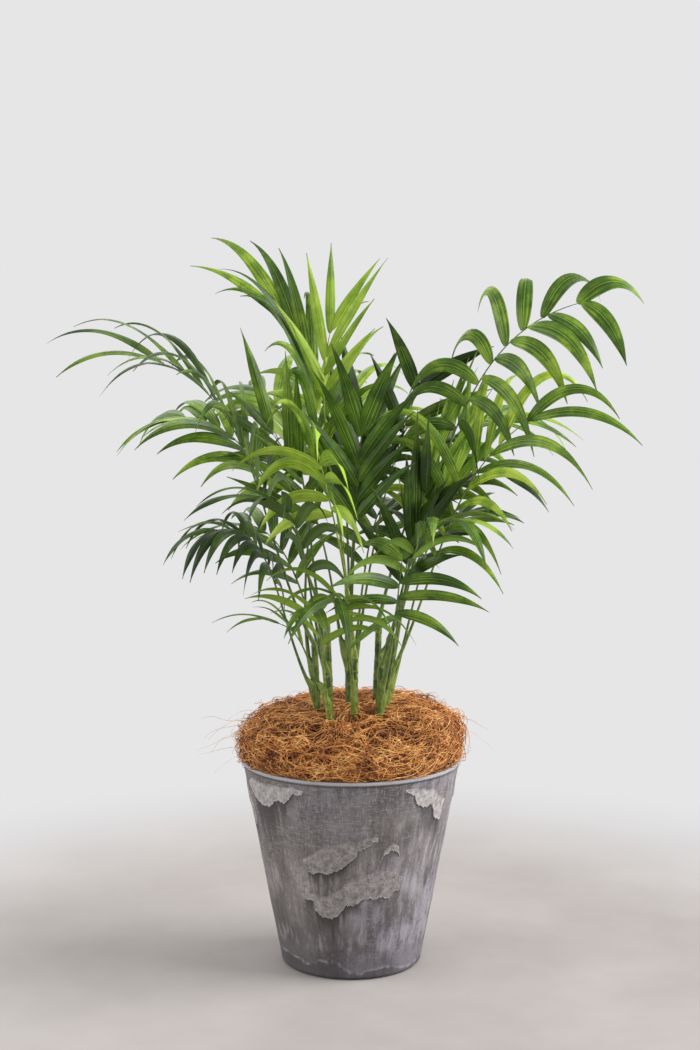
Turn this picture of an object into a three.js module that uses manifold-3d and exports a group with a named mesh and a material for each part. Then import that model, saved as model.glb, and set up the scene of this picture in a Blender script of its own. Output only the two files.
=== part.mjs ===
// A potted parlor palm, in millimetres. +Z is up, -Y is the front, and the origin is the middle of the pot's flat
// underside. A tapered pot holds potting soil under a mulch of coir, and a clump of canes carries the fronds.
import * as THREE from "three";
import { mergeVertices } from "three/addons/utils/BufferGeometryUtils.js";
import Module from "manifold-3d";

const wasm = await Module();
wasm.setup();

// Clearance between neighbouring pieces
const GAP = 0.3;

// Pot: a straight taper from a rounded foot edge up to a thin lip
const POT_HEIGHT = 170.5;
const POT_RIM_RADIUS = 89.2;
const POT_FOOT_RADIUS = 57;
const POT_FOOT_EDGE = 4;
const POT_WALL = 3.4;
const POT_FLOOR = 6;
const LIP_HEIGHT = 3.2;
const LIP_PROUD = 0.8;
const POT_SIDES = 40;

// Potting soil and the coir mound on it
const SOIL_TOP = 150;
const COIR_SIDES = 24;
const COIR_TOP = 209;
const COIR_REACH = 84.5;
// It lies higher towards this bearing, by up to this much
const COIR_HIGH_SIDE = 60;
const COIR_TILT = 6;
// Level of its edge, and its boxiness, at the front and at the sides and back
const COIR_FRONT = { level: 174, power: 2.1 };
const COIR_SIDE = { level: 183, power: 2.9 };
const COIR_SIDE_START = -0.95;
const COIR_SIDE_FULL = -0.3;
const COIR_RINGS = [90, 72, 52, 34, 17];
// How far below that level its side starts to follow the pot
const COIR_THROAT = 4;
const COIR_LUMP = 2.6;
const COIR_BRIM_LUMP = 0.6;
const COIR_SEED = 41;

// Canes: feet on the soil, tops where their leading frond goes on
const CANE_TOP_RADIUS = 2.5;
const CANE_FOOT_RADIUS = 3.2;
const FLARE_RADIUS = 5.4;
const FLARE_HEIGHT = 12;
const CANE_SIDES = 8;
const CANES = {
  left: { foot: [-24, -5], top: [-30, -6, 264] },
  left_back: { foot: [-15, 16], top: [-20, 22, 276] },
  left_front: { foot: [-14, -22], top: [-19, -29, 246] },
  front: { foot: [2, -24], top: [3, -31, 258] },
  right_front: { foot: [19, -21], top: [24, -28, 250] },
  right: { foot: [25, -2], top: [31, -3, 268] },
  right_back: { foot: [18, 17], top: [23, 22, 280] },
  back: { foot: [1, 25], top: [0, 34, 262] },
  middle: { foot: [-1, 1], top: [-3, 3, 300] },
};

// Petioles and ribs: radius at the cane and at the rib's end
const PETIOLE_RADIUS = 1.9;
const RIB_END_RADIUS = 0.6;
const PETIOLE_SIDES = 5;
const PETIOLE_STEPS = 5;
const RIB_SIDES = 3;
const RIB_STEPS = 6;
const RIB_TAPER_POWER = 1.5;
// How far along its span the rib still holds the petiole's lean, and from its end the slope it ends with
const RIB_LEAVING = 0.42;
const RIB_ARRIVING = 0.34;

// Leaflets: a ridged blade on three edges between two points, with its foot sunk in the rib
const LEAFLET_THICKNESS = 1.4;
const LEAFLET_TIP_THINNING = 0.35;
const LEAFLET_STEPS = 12;
const LEAFLET_ROWS = [2, 5, 9];
const LEAFLET_SEED = 977;
// A leaflet's outline: the powers of its rounded foot and its fine tip, and the value of their product at its widest
const LEAFLET_FOOT_POWER = 0.62;
const LEAFLET_TIP_POWER = 0.9;
const LEAFLET_WIDEST = 0.5165;
// Its bend: how strongly its droop pulls it down, and how late along it the pull grows
const DROOP_PULL = 1.25;
const DROOP_POWER = 1.4;
// Its foot goes this share of the rib's radius into the rib
const LEAFLET_SINK = 0.6;
// Its set on the rib: the share of a step where a left and a right one stand, and the last pair's shares of the rib
const PAIR_OFFSET = 0.22;
const PAIR_STAGGER = 0.3;
const LAST_PAIR = 0.985;
const LAST_STAGGER = 0.01;
// From the first pair to the last: opening, lift (degrees) and width
const OPENING_FIRST = 1.12;
const OPENING_LOSS = 0.62;
const LIFT_FIRST = 20;
const LIFT_LOSS = 0.4;
const WIDTH_FIRST = 0.86;
const WIDTH_GAIN = 0.2;
// Length swells from the first pair towards the middle and falls again
const LENGTH_LEAST = 0.78;
const LENGTH_SWELL = 0.34;
const SWELL_START = 0.12;
const SWELL_SPAN = 0.68;
// How far leaflets differ: degrees, degrees, shares of length and width, and radians of twist
const OPENING_SPREAD = 8;
const LIFT_SPREAD = 12;
const LENGTH_SPREAD = 0.13;
const WIDTH_SPREAD = 0.08;
const TWIST_SPREAD = 0.85;
const DROOP_LEAST = 0.7;
const DROOP_SPREAD = 0.6;

// Fronds. cane and seat: the cane, and how far below its top the petiole sits (0 is the cane's leading frond).
// heading, reach and rise place the rib's end: degrees in plan (0 right, 90 back), mm from the pot's axis, mm above
// the rim. lean is how far the petiole leaves the cane's line, slope is the rib's rise at its end, both in degrees.
// start is the share of the rib where the leaflets begin, and pairs, length, width, opening (degrees from the rib),
// droop and roll (degrees round the rib) set them out. facing turns an upright blade to a heading in plan.
// whole keeps petiole and blade in one piece. tone picks the green.
const FRONDS = [
  { name: "left_far", cane: "left", seat: 0, heading: 189, reach: 153, rise: 324, lean: 24, slope: 22,
    start: 0.38, pairs: 9, length: 110, width: 12, opening: 44, droop: 0.95, roll: 8, tone: 0 },
  { name: "left_high", cane: "left", seat: 18, heading: 176, reach: 52, rise: 354, lean: 6, slope: 53,
    start: 0.54, pairs: 7, length: 98, width: 15, opening: 20, droop: 0.8, roll: 30, tone: 1 },
  { name: "top_young", cane: "middle", seat: 0, heading: 196, reach: 17, rise: 349, lean: 4, slope: 104,
    start: 0.72, pairs: 4, length: 78, width: 12, opening: 30, droop: 0.2, roll: 0, facing: 88, tone: 4,
    whole: true },
  { name: "right_high", cane: "right", seat: 0, heading: 355, reach: 184, rise: 371, lean: 16, slope: 14,
    start: 0.48, pairs: 8, length: 74, width: 19, opening: 74, droop: 1.9, roll: -58, tone: 1 },
  { name: "right_long", cane: "right", seat: 24, heading: 344, reach: 146, rise: 280, lean: 22, slope: 34,
    start: 0.36, pairs: 8, length: 104, width: 13, opening: 48, droop: 1.2, roll: -55, tone: 2 },
  { name: "front_young", cane: "front", seat: 0, heading: 252, reach: 90, rise: 268, lean: 10, slope: 66,
    start: 0.62, pairs: 5, length: 70, width: 17, opening: 68, droop: 1.5, roll: 24, facing: 66, tone: 4 },
  { name: "right_low", cane: "right_front", seat: 14, heading: 306, reach: 68, rise: 172, lean: 16, slope: 78,
    start: 0.5, pairs: 4, length: 64, width: 15, opening: 84, droop: 0.8, roll: 0, facing: 105, tone: 1 },
  { name: "right_back_low", cane: "right_back", seat: 30, heading: 32, reach: 108, rise: 192, lean: 20, slope: 20,
    start: 0.5, pairs: 5, length: 64, width: 13, opening: 52, droop: 0.6, roll: -20, tone: 0 },
  { name: "left_low", cane: "left", seat: 34, heading: 193, reach: 112, rise: 190, lean: 24, slope: -12,
    start: 0.46, pairs: 8, length: 60, width: 11, opening: 58, droop: 1.9, roll: 20, tone: 0 },
  { name: "left_lowest", cane: "left_front", seat: 14, heading: 208, reach: 66, rise: 116, lean: 28, slope: 16,
    start: 0.5, pairs: 3, length: 54, width: 8, opening: 40, droop: 0.8, roll: 0, tone: 2 },
  { name: "front_low", cane: "front", seat: 26, heading: 263, reach: 93, rise: 146, lean: 20, slope: -6,
    start: 0.5, pairs: 4, length: 68, width: 11, opening: 58, droop: 1.2, roll: 14, tone: 2 },
  { name: "left_back", cane: "left_back", seat: 0, heading: 150, reach: 164, rise: 272, lean: 22, slope: 0,
    start: 0.42, pairs: 8, length: 78, width: 17, opening: 52, droop: 1.3, roll: 20, tone: 2 },
  { name: "right_back_upright", cane: "back", seat: 12, heading: 36, reach: 68, rise: 300, lean: 8, slope: 70,
    start: 0.6, pairs: 4, length: 74, width: 16, opening: 62, droop: 0.3, roll: 0, facing: 85, tone: 0,
    whole: true },
  { name: "right_spear", cane: "right", seat: 10, heading: 2, reach: 66, rise: 244, lean: 8, slope: 70,
    start: 0.5, pairs: 5, length: 98, width: 12, opening: 20, droop: 0.1, roll: 0, facing: 120, tone: 2,
    whole: true },
  { name: "middle_back", cane: "middle", seat: 14, heading: 79, reach: 43, rise: 262, lean: 8, slope: 80,
    start: 0.5, pairs: 5, length: 86, width: 18, opening: 30, droop: 0.2, roll: 0, facing: 105, tone: 0,
    whole: true },
  { name: "back_high", cane: "back", seat: 0, heading: 97, reach: 119, rise: 300, lean: 14, slope: 24,
    start: 0.45, pairs: 7, length: 84, width: 16, opening: 50, droop: 0.9, roll: 0, tone: 1 },
  { name: "right_back", cane: "right_back", seat: 0, heading: 40, reach: 166, rise: 274, lean: 14, slope: 2,
    start: 0.42, pairs: 7, length: 82, width: 15, opening: 50, droop: 1.2, roll: -15, tone: 1 },
  { name: "left_back_high", cane: "left_back", seat: 20, heading: 126, reach: 129, rise: 292, lean: 14, slope: 14,
    start: 0.45, pairs: 7, length: 82, width: 16, opening: 50, droop: 0.9, roll: 10, tone: 1 },
  { name: "left_front", cane: "left_front", seat: 0, heading: 232, reach: 108, rise: 222, lean: 20, slope: 8,
    start: 0.42, pairs: 5, length: 66, width: 13, opening: 50, droop: 1.2, roll: 0, tone: 0 },
  { name: "right_front", cane: "right_front", seat: 0, heading: 312, reach: 117, rise: 206, lean: 20, slope: 4,
    start: 0.42, pairs: 5, length: 66, width: 13, opening: 50, droop: 1.2, roll: 0, tone: 1 },
  { name: "back_low", cane: "back", seat: 24, heading: 75, reach: 132, rise: 196, lean: 20, slope: -4,
    start: 0.42, pairs: 6, length: 74, width: 14, opening: 50, droop: 0.9, roll: 0, tone: 0 },
  { name: "left_back_low", cane: "left_back", seat: 38, heading: 135, reach: 123, rise: 180, lean: 20, slope: 2,
    start: 0.42, pairs: 6, length: 68, width: 14, opening: 50, droop: 0.9, roll: 10, tone: 1 },
  { name: "front_lowest", cane: "left_front", seat: 26, heading: 250, reach: 92, rise: 138, lean: 24, slope: 0,
    start: 0.42, pairs: 4, length: 54, width: 12, opening: 50, droop: 0.9, roll: 0, tone: 3 },
  { name: "middle_front", cane: "middle", seat: 30, heading: 286, reach: 30, rise: 268, lean: 10, slope: 74,
    start: 0.5, pairs: 5, length: 80, width: 17, opening: 34, droop: 0.3, roll: 0, facing: 82, tone: 1,
    whole: true },
  { name: "right_back_middle", cane: "right_back", seat: 44, heading: 16, reach: 118, rise: 234, lean: 20, slope: 8,
    start: 0.42, pairs: 6, length: 72, width: 15, opening: 50, droop: 0.9, roll: -20, tone: 0 },
  { name: "right_spear_outer", cane: "right", seat: 38, heading: 6, reach: 92, rise: 254, lean: 12, slope: 64,
    start: 0.5, pairs: 5, length: 92, width: 11, opening: 20, droop: 0.12, roll: 0, facing: 110, tone: 2,
    whole: true },
  { name: "left_centre", cane: "middle", seat: 40, heading: 170, reach: 66, rise: 266, lean: 8, slope: 52,
    start: 0.5, pairs: 5, length: 88, width: 15, opening: 36, droop: 0.3, roll: 0, facing: 75, tone: 2,
    whole: true },
  { name: "right_centre", cane: "right_front", seat: 26, heading: 345, reach: 62, rise: 222, lean: 8, slope: 70,
    start: 0.5, pairs: 5, length: 78, width: 17, opening: 34, droop: 0.3, roll: 0, facing: 95, tone: 0,
    whole: true },
];

// Where a leaflet would touch another piece it is tried again: turned about its rib, opened, shortened
const LEAFLET_TRIES = [
  { lift: 0, open: 0, size: 1 },
  { lift: 14, open: 0, size: 1 },
  { lift: -14, open: 0, size: 1 },
  { lift: 0, open: -12, size: 1 },
  { lift: 0, open: 12, size: 1 },
  { lift: 26, open: -8, size: 0.95 },
  { lift: -26, open: -8, size: 0.95 },
  { lift: 0, open: -18, size: 0.8 },
  { lift: 20, open: 10, size: 0.8 },
  { lift: -20, open: 10, size: 0.8 },
  { lift: 0, open: 0, size: 0.62 },
  { lift: 30, open: -16, size: 0.62 },
];

const UP = new THREE.Vector3(0, 0, 1);
const radians = THREE.MathUtils.degToRad;

function material(color, roughness) {
  return new THREE.MeshStandardMaterial({ color, roughness, metalness: 0 });
}

const POT_GREY = material(0x8b8986, 0.88);
const SOIL_BROWN = material(0x3a2a1e, 0.95);
const COIR_BROWN = material(0xa4652c, 0.9);
const CANE_GREEN = material(0x6f8a3c, 0.55);
const PETIOLE_GREEN = material(0x5f8434, 0.5);
const LEAF_GREENS = [0x2d5a26, 0x3c7029, 0x54862c, 0x6a9c2e, 0x93bd33];

// Repeatable random numbers from a seed: next is in 0 to 1, spread in -size to size
class Draw {
  constructor(seed) {
    this.state = seed >>> 0;
  }
  next() {
    this.state = (Math.imul(1664525, this.state) + 1013904223) >>> 0;
    return this.state / 4294967296;
  }
  spread(size) {
    return size * (2 * this.next() - 1);
  }
}

// A closed solid from a closed geometry, to be joined and cut
function solidOf(geometry) {
  const bare = geometry.clone();
  bare.deleteAttribute("normal");
  bare.deleteAttribute("uv");
  const merged = mergeVertices(bare, 1e-4);
  return new wasm.Manifold(
    new wasm.Mesh({
      numProp: 3,
      vertProperties: new Float32Array(merged.attributes.position.array),
      triVerts: new Uint32Array(merged.index.array),
    }),
  );
}

function geometryOf(solid) {
  const made = solid.getMesh();
  const geometry = new THREE.BufferGeometry();
  geometry.setAttribute("position", new THREE.BufferAttribute(made.vertProperties, 3));
  geometry.setIndex(new THREE.BufferAttribute(made.triVerts, 1));
  geometry.computeVertexNormals();
  return geometry;
}

// A closed skin over rings of points, each turning anticlockwise seen from the far end. Where a foot or a tip is
// given, that end runs to a point, and otherwise it is flat.
function skin(rings, { foot, tip } = {}) {
  const sides = rings[0].length;
  const points = rings.flat();
  const faces = [];
  const last = (rings.length - 1) * sides;
  for (let ring = 0; ring < last; ring += sides) {
    for (let j = 0; j < sides; j++) {
      const a = ring + j;
      const b = ring + ((j + 1) % sides);
      faces.push(a, b, b + sides, a, b + sides, a + sides);
    }
  }
  for (let j = 1; j < sides - 1; j++) {
    if (!foot) faces.push(0, j + 1, j);
    if (!tip) faces.push(last, last + j, last + j + 1);
  }
  if (foot) {
    points.push(foot);
    for (let j = 0; j < sides; j++) faces.push((j + 1) % sides, j, points.length - 1);
  }
  if (tip) {
    points.push(tip);
    for (let j = 0; j < sides; j++) faces.push(last + j, last + ((j + 1) % sides), points.length - 1);
  }
  const geometry = new THREE.BufferGeometry().setFromPoints(points);
  geometry.setIndex(faces);
  geometry.computeVertexNormals();
  return geometry;
}

// A ring round a centre in the plane of two unit vectors
function ring(centre, across, along, radius, sides) {
  return Array.from({ length: sides }, (_, i) => {
    const angle = (2 * Math.PI * i) / sides;
    return centre
      .clone()
      .addScaledVector(across, radius * Math.cos(angle))
      .addScaledVector(along, radius * Math.sin(angle));
  });
}

function levelRing(x, y, z, radius, sides) {
  return ring(new THREE.Vector3(x, y, z), new THREE.Vector3(1, 0, 0), new THREE.Vector3(0, 1, 0), radius, sides);
}

// The pot's outer radius at a height, up to the lip
function potRadius(z) {
  return THREE.MathUtils.lerp(POT_FOOT_RADIUS, POT_RIM_RADIUS, z / POT_HEIGHT);
}

// A solid of revolution from a profile that starts and ends on the axis
function turned(profile) {
  const points = profile.map(([r, z]) => new THREE.Vector2(r, z));
  return new THREE.LatheGeometry(points, POT_SIDES).rotateX(Math.PI / 2);
}

function potGeometry() {
  const footEdge = [0, 1, 2, 3].map((i) => {
    const angle = (Math.PI / 2) * (i / 3);
    const x = potRadius(POT_FOOT_EDGE) - POT_FOOT_EDGE * (1 - Math.sin(angle));
    return [x, POT_FOOT_EDGE * (1 - Math.cos(angle))];
  });
  const lipFoot = POT_HEIGHT - LIP_HEIGHT;
  return turned([
    [0, 0],
    ...footEdge,
    [potRadius(lipFoot), lipFoot],
    [potRadius(lipFoot) + LIP_PROUD, lipFoot + LIP_PROUD],
    [POT_RIM_RADIUS + LIP_PROUD, POT_HEIGHT - LIP_PROUD],
    [POT_RIM_RADIUS, POT_HEIGHT],
    [POT_RIM_RADIUS - POT_WALL + LIP_PROUD, POT_HEIGHT],
    [POT_RIM_RADIUS - POT_WALL, POT_HEIGHT - LIP_PROUD],
    [potRadius(POT_FLOOR) - POT_WALL, POT_FLOOR],
    [0, POT_FLOOR],
  ]);
}

function soilGeometry() {
  const foot = POT_FLOOR + GAP;
  return turned([
    [0, foot],
    [potRadius(foot) - POT_WALL - GAP, foot],
    [potRadius(SOIL_TOP) - POT_WALL - GAP, SOIL_TOP],
    [0, SOIL_TOP],
  ]);
}

// The level of the coir's edge and its boxiness at an angle in plan
function coirForm(angle) {
  const side = THREE.MathUtils.smoothstep(Math.sin(angle), COIR_SIDE_START, COIR_SIDE_FULL);
  const mix = (key) => THREE.MathUtils.lerp(COIR_FRONT[key], COIR_SIDE[key], side);
  return { level: mix("level"), power: mix("power"), tilt: COIR_TILT * Math.cos(angle - radians(COIR_HIGH_SIDE)) };
}

// Its skin at a turn in degrees, which is 0 at its top and 90 at its edge
function coirPoint(turn, angle) {
  const { level, power, tilt } = coirForm(angle);
  const share = Math.sin(radians(turn)) ** (2 / power);
  const rise = (COIR_TOP - level) * Math.cos(radians(turn)) ** (2 / power);
  const out = COIR_REACH * share;
  return new THREE.Vector3(out * Math.cos(angle), out * Math.sin(angle), level + rise + tilt * share);
}

function coirGeometry() {
  const draw = new Draw(COIR_SEED);
  const snug = Math.cos(Math.PI / POT_SIDES);
  const inside = (z) => Math.min(COIR_REACH, (potRadius(z) - POT_WALL) * snug - GAP);
  const foot = SOIL_TOP + GAP;
  const angles = Array.from({ length: COIR_SIDES }, (_, i) => (2 * Math.PI * i) / COIR_SIDES);
  const throat = angles.map((angle) => {
    const { level, tilt } = coirForm(angle);
    const z = Math.min(POT_HEIGHT - LIP_PROUD, level + tilt - COIR_THROAT);
    return new THREE.Vector3(inside(z) * Math.cos(angle), inside(z) * Math.sin(angle), z);
  });
  const rings = [levelRing(0, 0, foot, inside(foot), COIR_SIDES), throat];
  for (const turn of COIR_RINGS) {
    const lump = turn === 90 ? COIR_BRIM_LUMP : COIR_LUMP;
    const points = angles.map((angle) => coirPoint(turn, angle));
    for (const point of points) point.z += draw.spread(lump);
    rings.push(points);
  }
  return skin(rings, { tip: new THREE.Vector3(0, 0, COIR_TOP) });
}

// A cane: level rings from its flared foot to its top, grown by a margin where it cuts its clearance
function caneGeometry({ foot, top }, margin = 0) {
  const footPoint = new THREE.Vector3(foot[0], foot[1], SOIL_TOP + GAP - margin);
  const topPoint = new THREE.Vector3(...top);
  const height = top[2] - SOIL_TOP;
  const rings = [0, 4, FLARE_HEIGHT, height / 2, height].map((z) => {
    const share = z / height;
    const flare = (FLARE_RADIUS - CANE_FOOT_RADIUS) * Math.pow(Math.max(0, 1 - z / FLARE_HEIGHT), 2);
    const radius = THREE.MathUtils.lerp(CANE_FOOT_RADIUS, CANE_TOP_RADIUS, share) + flare + margin;
    const at = footPoint.clone().lerp(topPoint, share);
    return levelRing(at.x, at.y, at.z, radius, CANE_SIDES);
  });
  return skin(rings);
}

// The rib's line from its cane to its end, and the heading its blade runs or faces
function ribOf(frond) {
  const cane = CANES[frond.cane];
  const foot = new THREE.Vector3(cane.foot[0], cane.foot[1], SOIL_TOP);
  const top = new THREE.Vector3(...cane.top);
  const up = top.clone().sub(foot).normalize();
  const heading = radians(frond.heading);
  const end = new THREE.Vector3(
    frond.reach * Math.cos(heading),
    frond.reach * Math.sin(heading),
    POT_HEIGHT + frond.rise,
  );
  const run = new THREE.Vector3(end.x - top.x, end.y - top.y, 0).normalize();
  const base = top.clone();
  if (frond.seat === 0) {
    base.addScaledVector(up, GAP);
  } else {
    const share = frond.seat / top.distanceTo(foot);
    const radius = THREE.MathUtils.lerp(CANE_TOP_RADIUS, CANE_FOOT_RADIUS, share);
    const side = run.clone().addScaledVector(up, -run.dot(up)).normalize();
    base.addScaledVector(up, -frond.seat).addScaledVector(side, radius + PETIOLE_RADIUS + GAP);
  }
  const span = base.distanceTo(end);
  const lean = radians(frond.lean);
  const slope = radians(frond.slope);
  const out = up.clone().multiplyScalar(Math.cos(lean)).addScaledVector(run, Math.sin(lean)).normalize();
  const into = run.clone().multiplyScalar(Math.cos(slope)).addScaledVector(UP, Math.sin(slope));
  const curve = new THREE.CubicBezierCurve3(
    base,
    base.clone().addScaledVector(out, span * RIB_LEAVING),
    end.clone().addScaledVector(into, -span * RIB_ARRIVING),
    end,
  );
  const facing = radians(frond.facing ?? 0);
  const plane = frond.facing === undefined ? run : new THREE.Vector3(Math.cos(facing), Math.sin(facing), 0);
  return { curve, run, plane };
}

// The unit vectors at a share of the rib: along it, out of its upper face, and across it. The plane is the heading
// that the upper face turns from.
function ribFrame(curve, share, plane, roll) {
  const along = curve.getTangent(share);
  const level = Math.sqrt(Math.max(0, 1 - along.z * along.z));
  const face = UP.clone().multiplyScalar(level).addScaledVector(plane, -along.z);
  face.addScaledVector(along, -face.dot(along)).normalize();
  const across = along.clone().cross(face);
  const turn = radians(roll);
  return {
    along,
    face: face.clone().multiplyScalar(Math.cos(turn)).addScaledVector(across, -Math.sin(turn)),
    across: across.clone().multiplyScalar(Math.cos(turn)).addScaledVector(face, Math.sin(turn)),
  };
}

function ribRadius(share) {
  return RIB_END_RADIUS + (PETIOLE_RADIUS - RIB_END_RADIUS) * Math.pow(1 - share, RIB_TAPER_POWER);
}

// A stretch of the rib's line as a tapering limb. A leading petiole's first ring is level, on its cane's flat top.
function ribGeometry(rib, from, to, steps, sides, levelFoot) {
  const rings = [];
  for (let i = 0; i <= steps; i++) {
    const share = from + ((to - from) * i) / steps;
    const { face, across } = ribFrame(rib.curve, share, rib.run, 0);
    const points = ring(rib.curve.getPoint(share), face, across, ribRadius(share), sides);
    if (i === 0 && levelFoot) points.forEach((point) => (point.z = rib.curve.getPoint(0).z));
    rings.push(points);
  }
  return skin(rings);
}

// A leaflet's half width at a share of its length
function leafletHalfWidth(share, width) {
  const swell = Math.pow(share, LEAFLET_FOOT_POWER) * Math.pow(1 - share, LEAFLET_TIP_POWER);
  return ((width / 2) * swell) / LEAFLET_WIDEST;
}

// A leaflet that leaves its rib, bends down under its weight and twists a little on its way to its tip
function leafletGeometry(leaf, margin = 0) {
  const point = leaf.root.clone();
  const rows = [];
  let across = leaf.direction.clone().cross(leaf.face).normalize();
  let along = leaf.direction.clone();
  for (let step = 0; step <= LEAFLET_STEPS; step++) {
    const share = step / LEAFLET_STEPS;
    if (LEAFLET_ROWS.includes(step)) {
      const face = across.clone().cross(along).normalize();
      const half = leafletHalfWidth(share, leaf.width) + margin;
      const ridge = LEAFLET_THICKNESS * (1 - LEAFLET_TIP_THINNING * share) + margin;
      rows.push([
        point.clone().addScaledVector(face, ridge),
        point.clone().addScaledVector(across, half).addScaledVector(face, -margin),
        point.clone().addScaledVector(across, -half).addScaledVector(face, -margin),
      ]);
    }
    if (step === LEAFLET_STEPS) break;
    const middle = (step + 0.5) / LEAFLET_STEPS;
    const pull = DROOP_PULL * leaf.droop * Math.pow(middle, DROOP_POWER);
    along = leaf.direction.clone().addScaledVector(UP, -pull).normalize();
    point.addScaledVector(along, leaf.length / LEAFLET_STEPS);
    across.addScaledVector(along, -across.dot(along)).normalize();
    across.applyAxisAngle(along, leaf.twist / LEAFLET_STEPS);
  }
  return skin(rows, { foot: leaf.root, tip: point.addScaledVector(along, margin) });
}

// The leaflets of a frond, in pairs that alternate along the rib and narrow towards its end
function leafletsOf(frond, index, rib) {
  const draw = new Draw(LEAFLET_SEED * (index + 1));
  const leaves = [];
  const step = (1 - frond.start) / frond.pairs;
  for (let pair = 0; pair < frond.pairs; pair++) {
    const along = pair / (frond.pairs - 1);
    for (const side of [-1, 1]) {
      const right = side > 0 ? 1 : 0;
      const ending = pair === frond.pairs - 1;
      const share = ending
        ? LAST_PAIR + LAST_STAGGER * right
        : frond.start + step * (pair + PAIR_OFFSET + PAIR_STAGGER * right);
      const open = frond.opening * (OPENING_FIRST - OPENING_LOSS * along) + draw.spread(OPENING_SPREAD);
      const lift = LIFT_FIRST * (1 - LIFT_LOSS * along) + draw.spread(LIFT_SPREAD);
      const swell = LENGTH_LEAST + LENGTH_SWELL * Math.sin(Math.PI * (SWELL_START + SWELL_SPAN * along));
      const length = frond.length * swell * (1 + draw.spread(LENGTH_SPREAD));
      const width = frond.width * (WIDTH_FIRST + WIDTH_GAIN * along) * (1 + draw.spread(WIDTH_SPREAD));
      const droop = frond.droop * (DROOP_LEAST + DROOP_SPREAD * draw.next());
      const twist = draw.spread(TWIST_SPREAD);
      leaves.push({ share, side, open, lift, length, width, droop, twist });
    }
  }
  return leaves;
}

// A leaflet set on its rib, changed by one of the tries
function setLeaflet(leaf, attempt, rib, roll) {
  const { along, face, across } = ribFrame(rib.curve, leaf.share, rib.plane, roll);
  const open = radians(leaf.open + attempt.open);
  const lift = radians(leaf.lift + attempt.lift);
  const outward = across.clone().multiplyScalar(leaf.side);
  const sideways = outward.clone().multiplyScalar(Math.cos(lift)).addScaledVector(face, Math.sin(lift));
  const direction = along.clone().multiplyScalar(Math.cos(open)).addScaledVector(sideways, Math.sin(open));
  const upper = face.clone().multiplyScalar(Math.cos(lift)).addScaledVector(outward, -Math.sin(lift));
  const root = rib.curve.getPoint(leaf.share).addScaledVector(direction, -LEAFLET_SINK * ribRadius(leaf.share));
  return { ...leaf, root, direction, face: upper, length: leaf.length * attempt.size };
}

// Solids already in place, to keep pieces of different nodes clear of each other
const placed = [];

function place(node, solid) {
  placed.push({ node, solid, box: solid.boundingBox() });
}

function boxesMeet(a, b) {
  return [0, 1, 2].every((axis) => a.min[axis] <= b.max[axis] && b.min[axis] <= a.max[axis]);
}

function touches(node, solid) {
  const box = solid.boundingBox();
  return placed.some((other) => {
    if (other.node === node || !boxesMeet(box, other.box)) return false;
    const common = solid.intersect(other.solid);
    const meets = !common.isEmpty();
    common.delete();
    return meets;
  });
}

const palm = new THREE.Group();

function addMesh(name, geometry, look) {
  const mesh = new THREE.Mesh(geometry, look);
  mesh.name = name;
  palm.add(mesh);
}

addMesh("pot", potGeometry(), POT_GREY);
addMesh("potting_soil", soilGeometry(), SOIL_BROWN);

let coir = solidOf(coirGeometry());
for (const cane of Object.values(CANES)) coir = coir.subtract(solidOf(caneGeometry(cane, GAP)));
addMesh("coir_mulch", geometryOf(coir), COIR_BROWN);
place("pot", solidOf(potGeometry()));
place("coir_mulch", coir);

for (const [name, cane] of Object.entries(CANES)) {
  const geometry = caneGeometry(cane);
  addMesh("cane_" + name, geometry, CANE_GREEN);
  place("cane_" + name, solidOf(geometry));
}

// Petioles and ribs come first, so that every leaflet keeps clear of them
const blades = FRONDS.map((frond, index) => {
  const rib = ribOf(frond);
  const node = "frond_" + frond.name;
  const leading = frond.seat === 0;
  let limb;
  if (frond.whole) {
    limb = ribGeometry(rib, 0, 1, PETIOLE_STEPS + RIB_STEPS, RIB_SIDES, leading);
  } else {
    const cut = GAP / rib.curve.getLength();
    const petiole = ribGeometry(rib, 0, frond.start - cut, PETIOLE_STEPS, PETIOLE_SIDES, leading);
    addMesh("petiole_" + frond.name, petiole, PETIOLE_GREEN);
    place("petiole_" + frond.name, solidOf(petiole));
    limb = ribGeometry(rib, frond.start, 1, RIB_STEPS, RIB_SIDES, false);
  }
  const solid = solidOf(limb);
  place(node, solid);
  return { frond, rib, node, solid, leaves: leafletsOf(frond, index, rib) };
});

for (const blade of blades) {
  for (const leaf of blade.leaves) {
    for (const attempt of LEAFLET_TRIES) {
      const set = setLeaflet(leaf, attempt, blade.rib, blade.frond.roll);
      const guard = solidOf(leafletGeometry(set, GAP));
      const clear = !touches(blade.node, guard);
      guard.delete();
      if (clear) {
        const solid = solidOf(leafletGeometry(set));
        place(blade.node, solid);
        blade.solid = blade.solid.add(solid);
        break;
      }
    }
  }
  addMesh(blade.node, geometryOf(blade.solid), material(LEAF_GREENS[blade.frond.tone], 0.5));
}

export default palm;
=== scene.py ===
import math
import random
from collections import namedtuple

import bpy
import numpy as np
from mathutils import Matrix, Vector, noise
from mathutils.kdtree import KDTree


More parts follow.
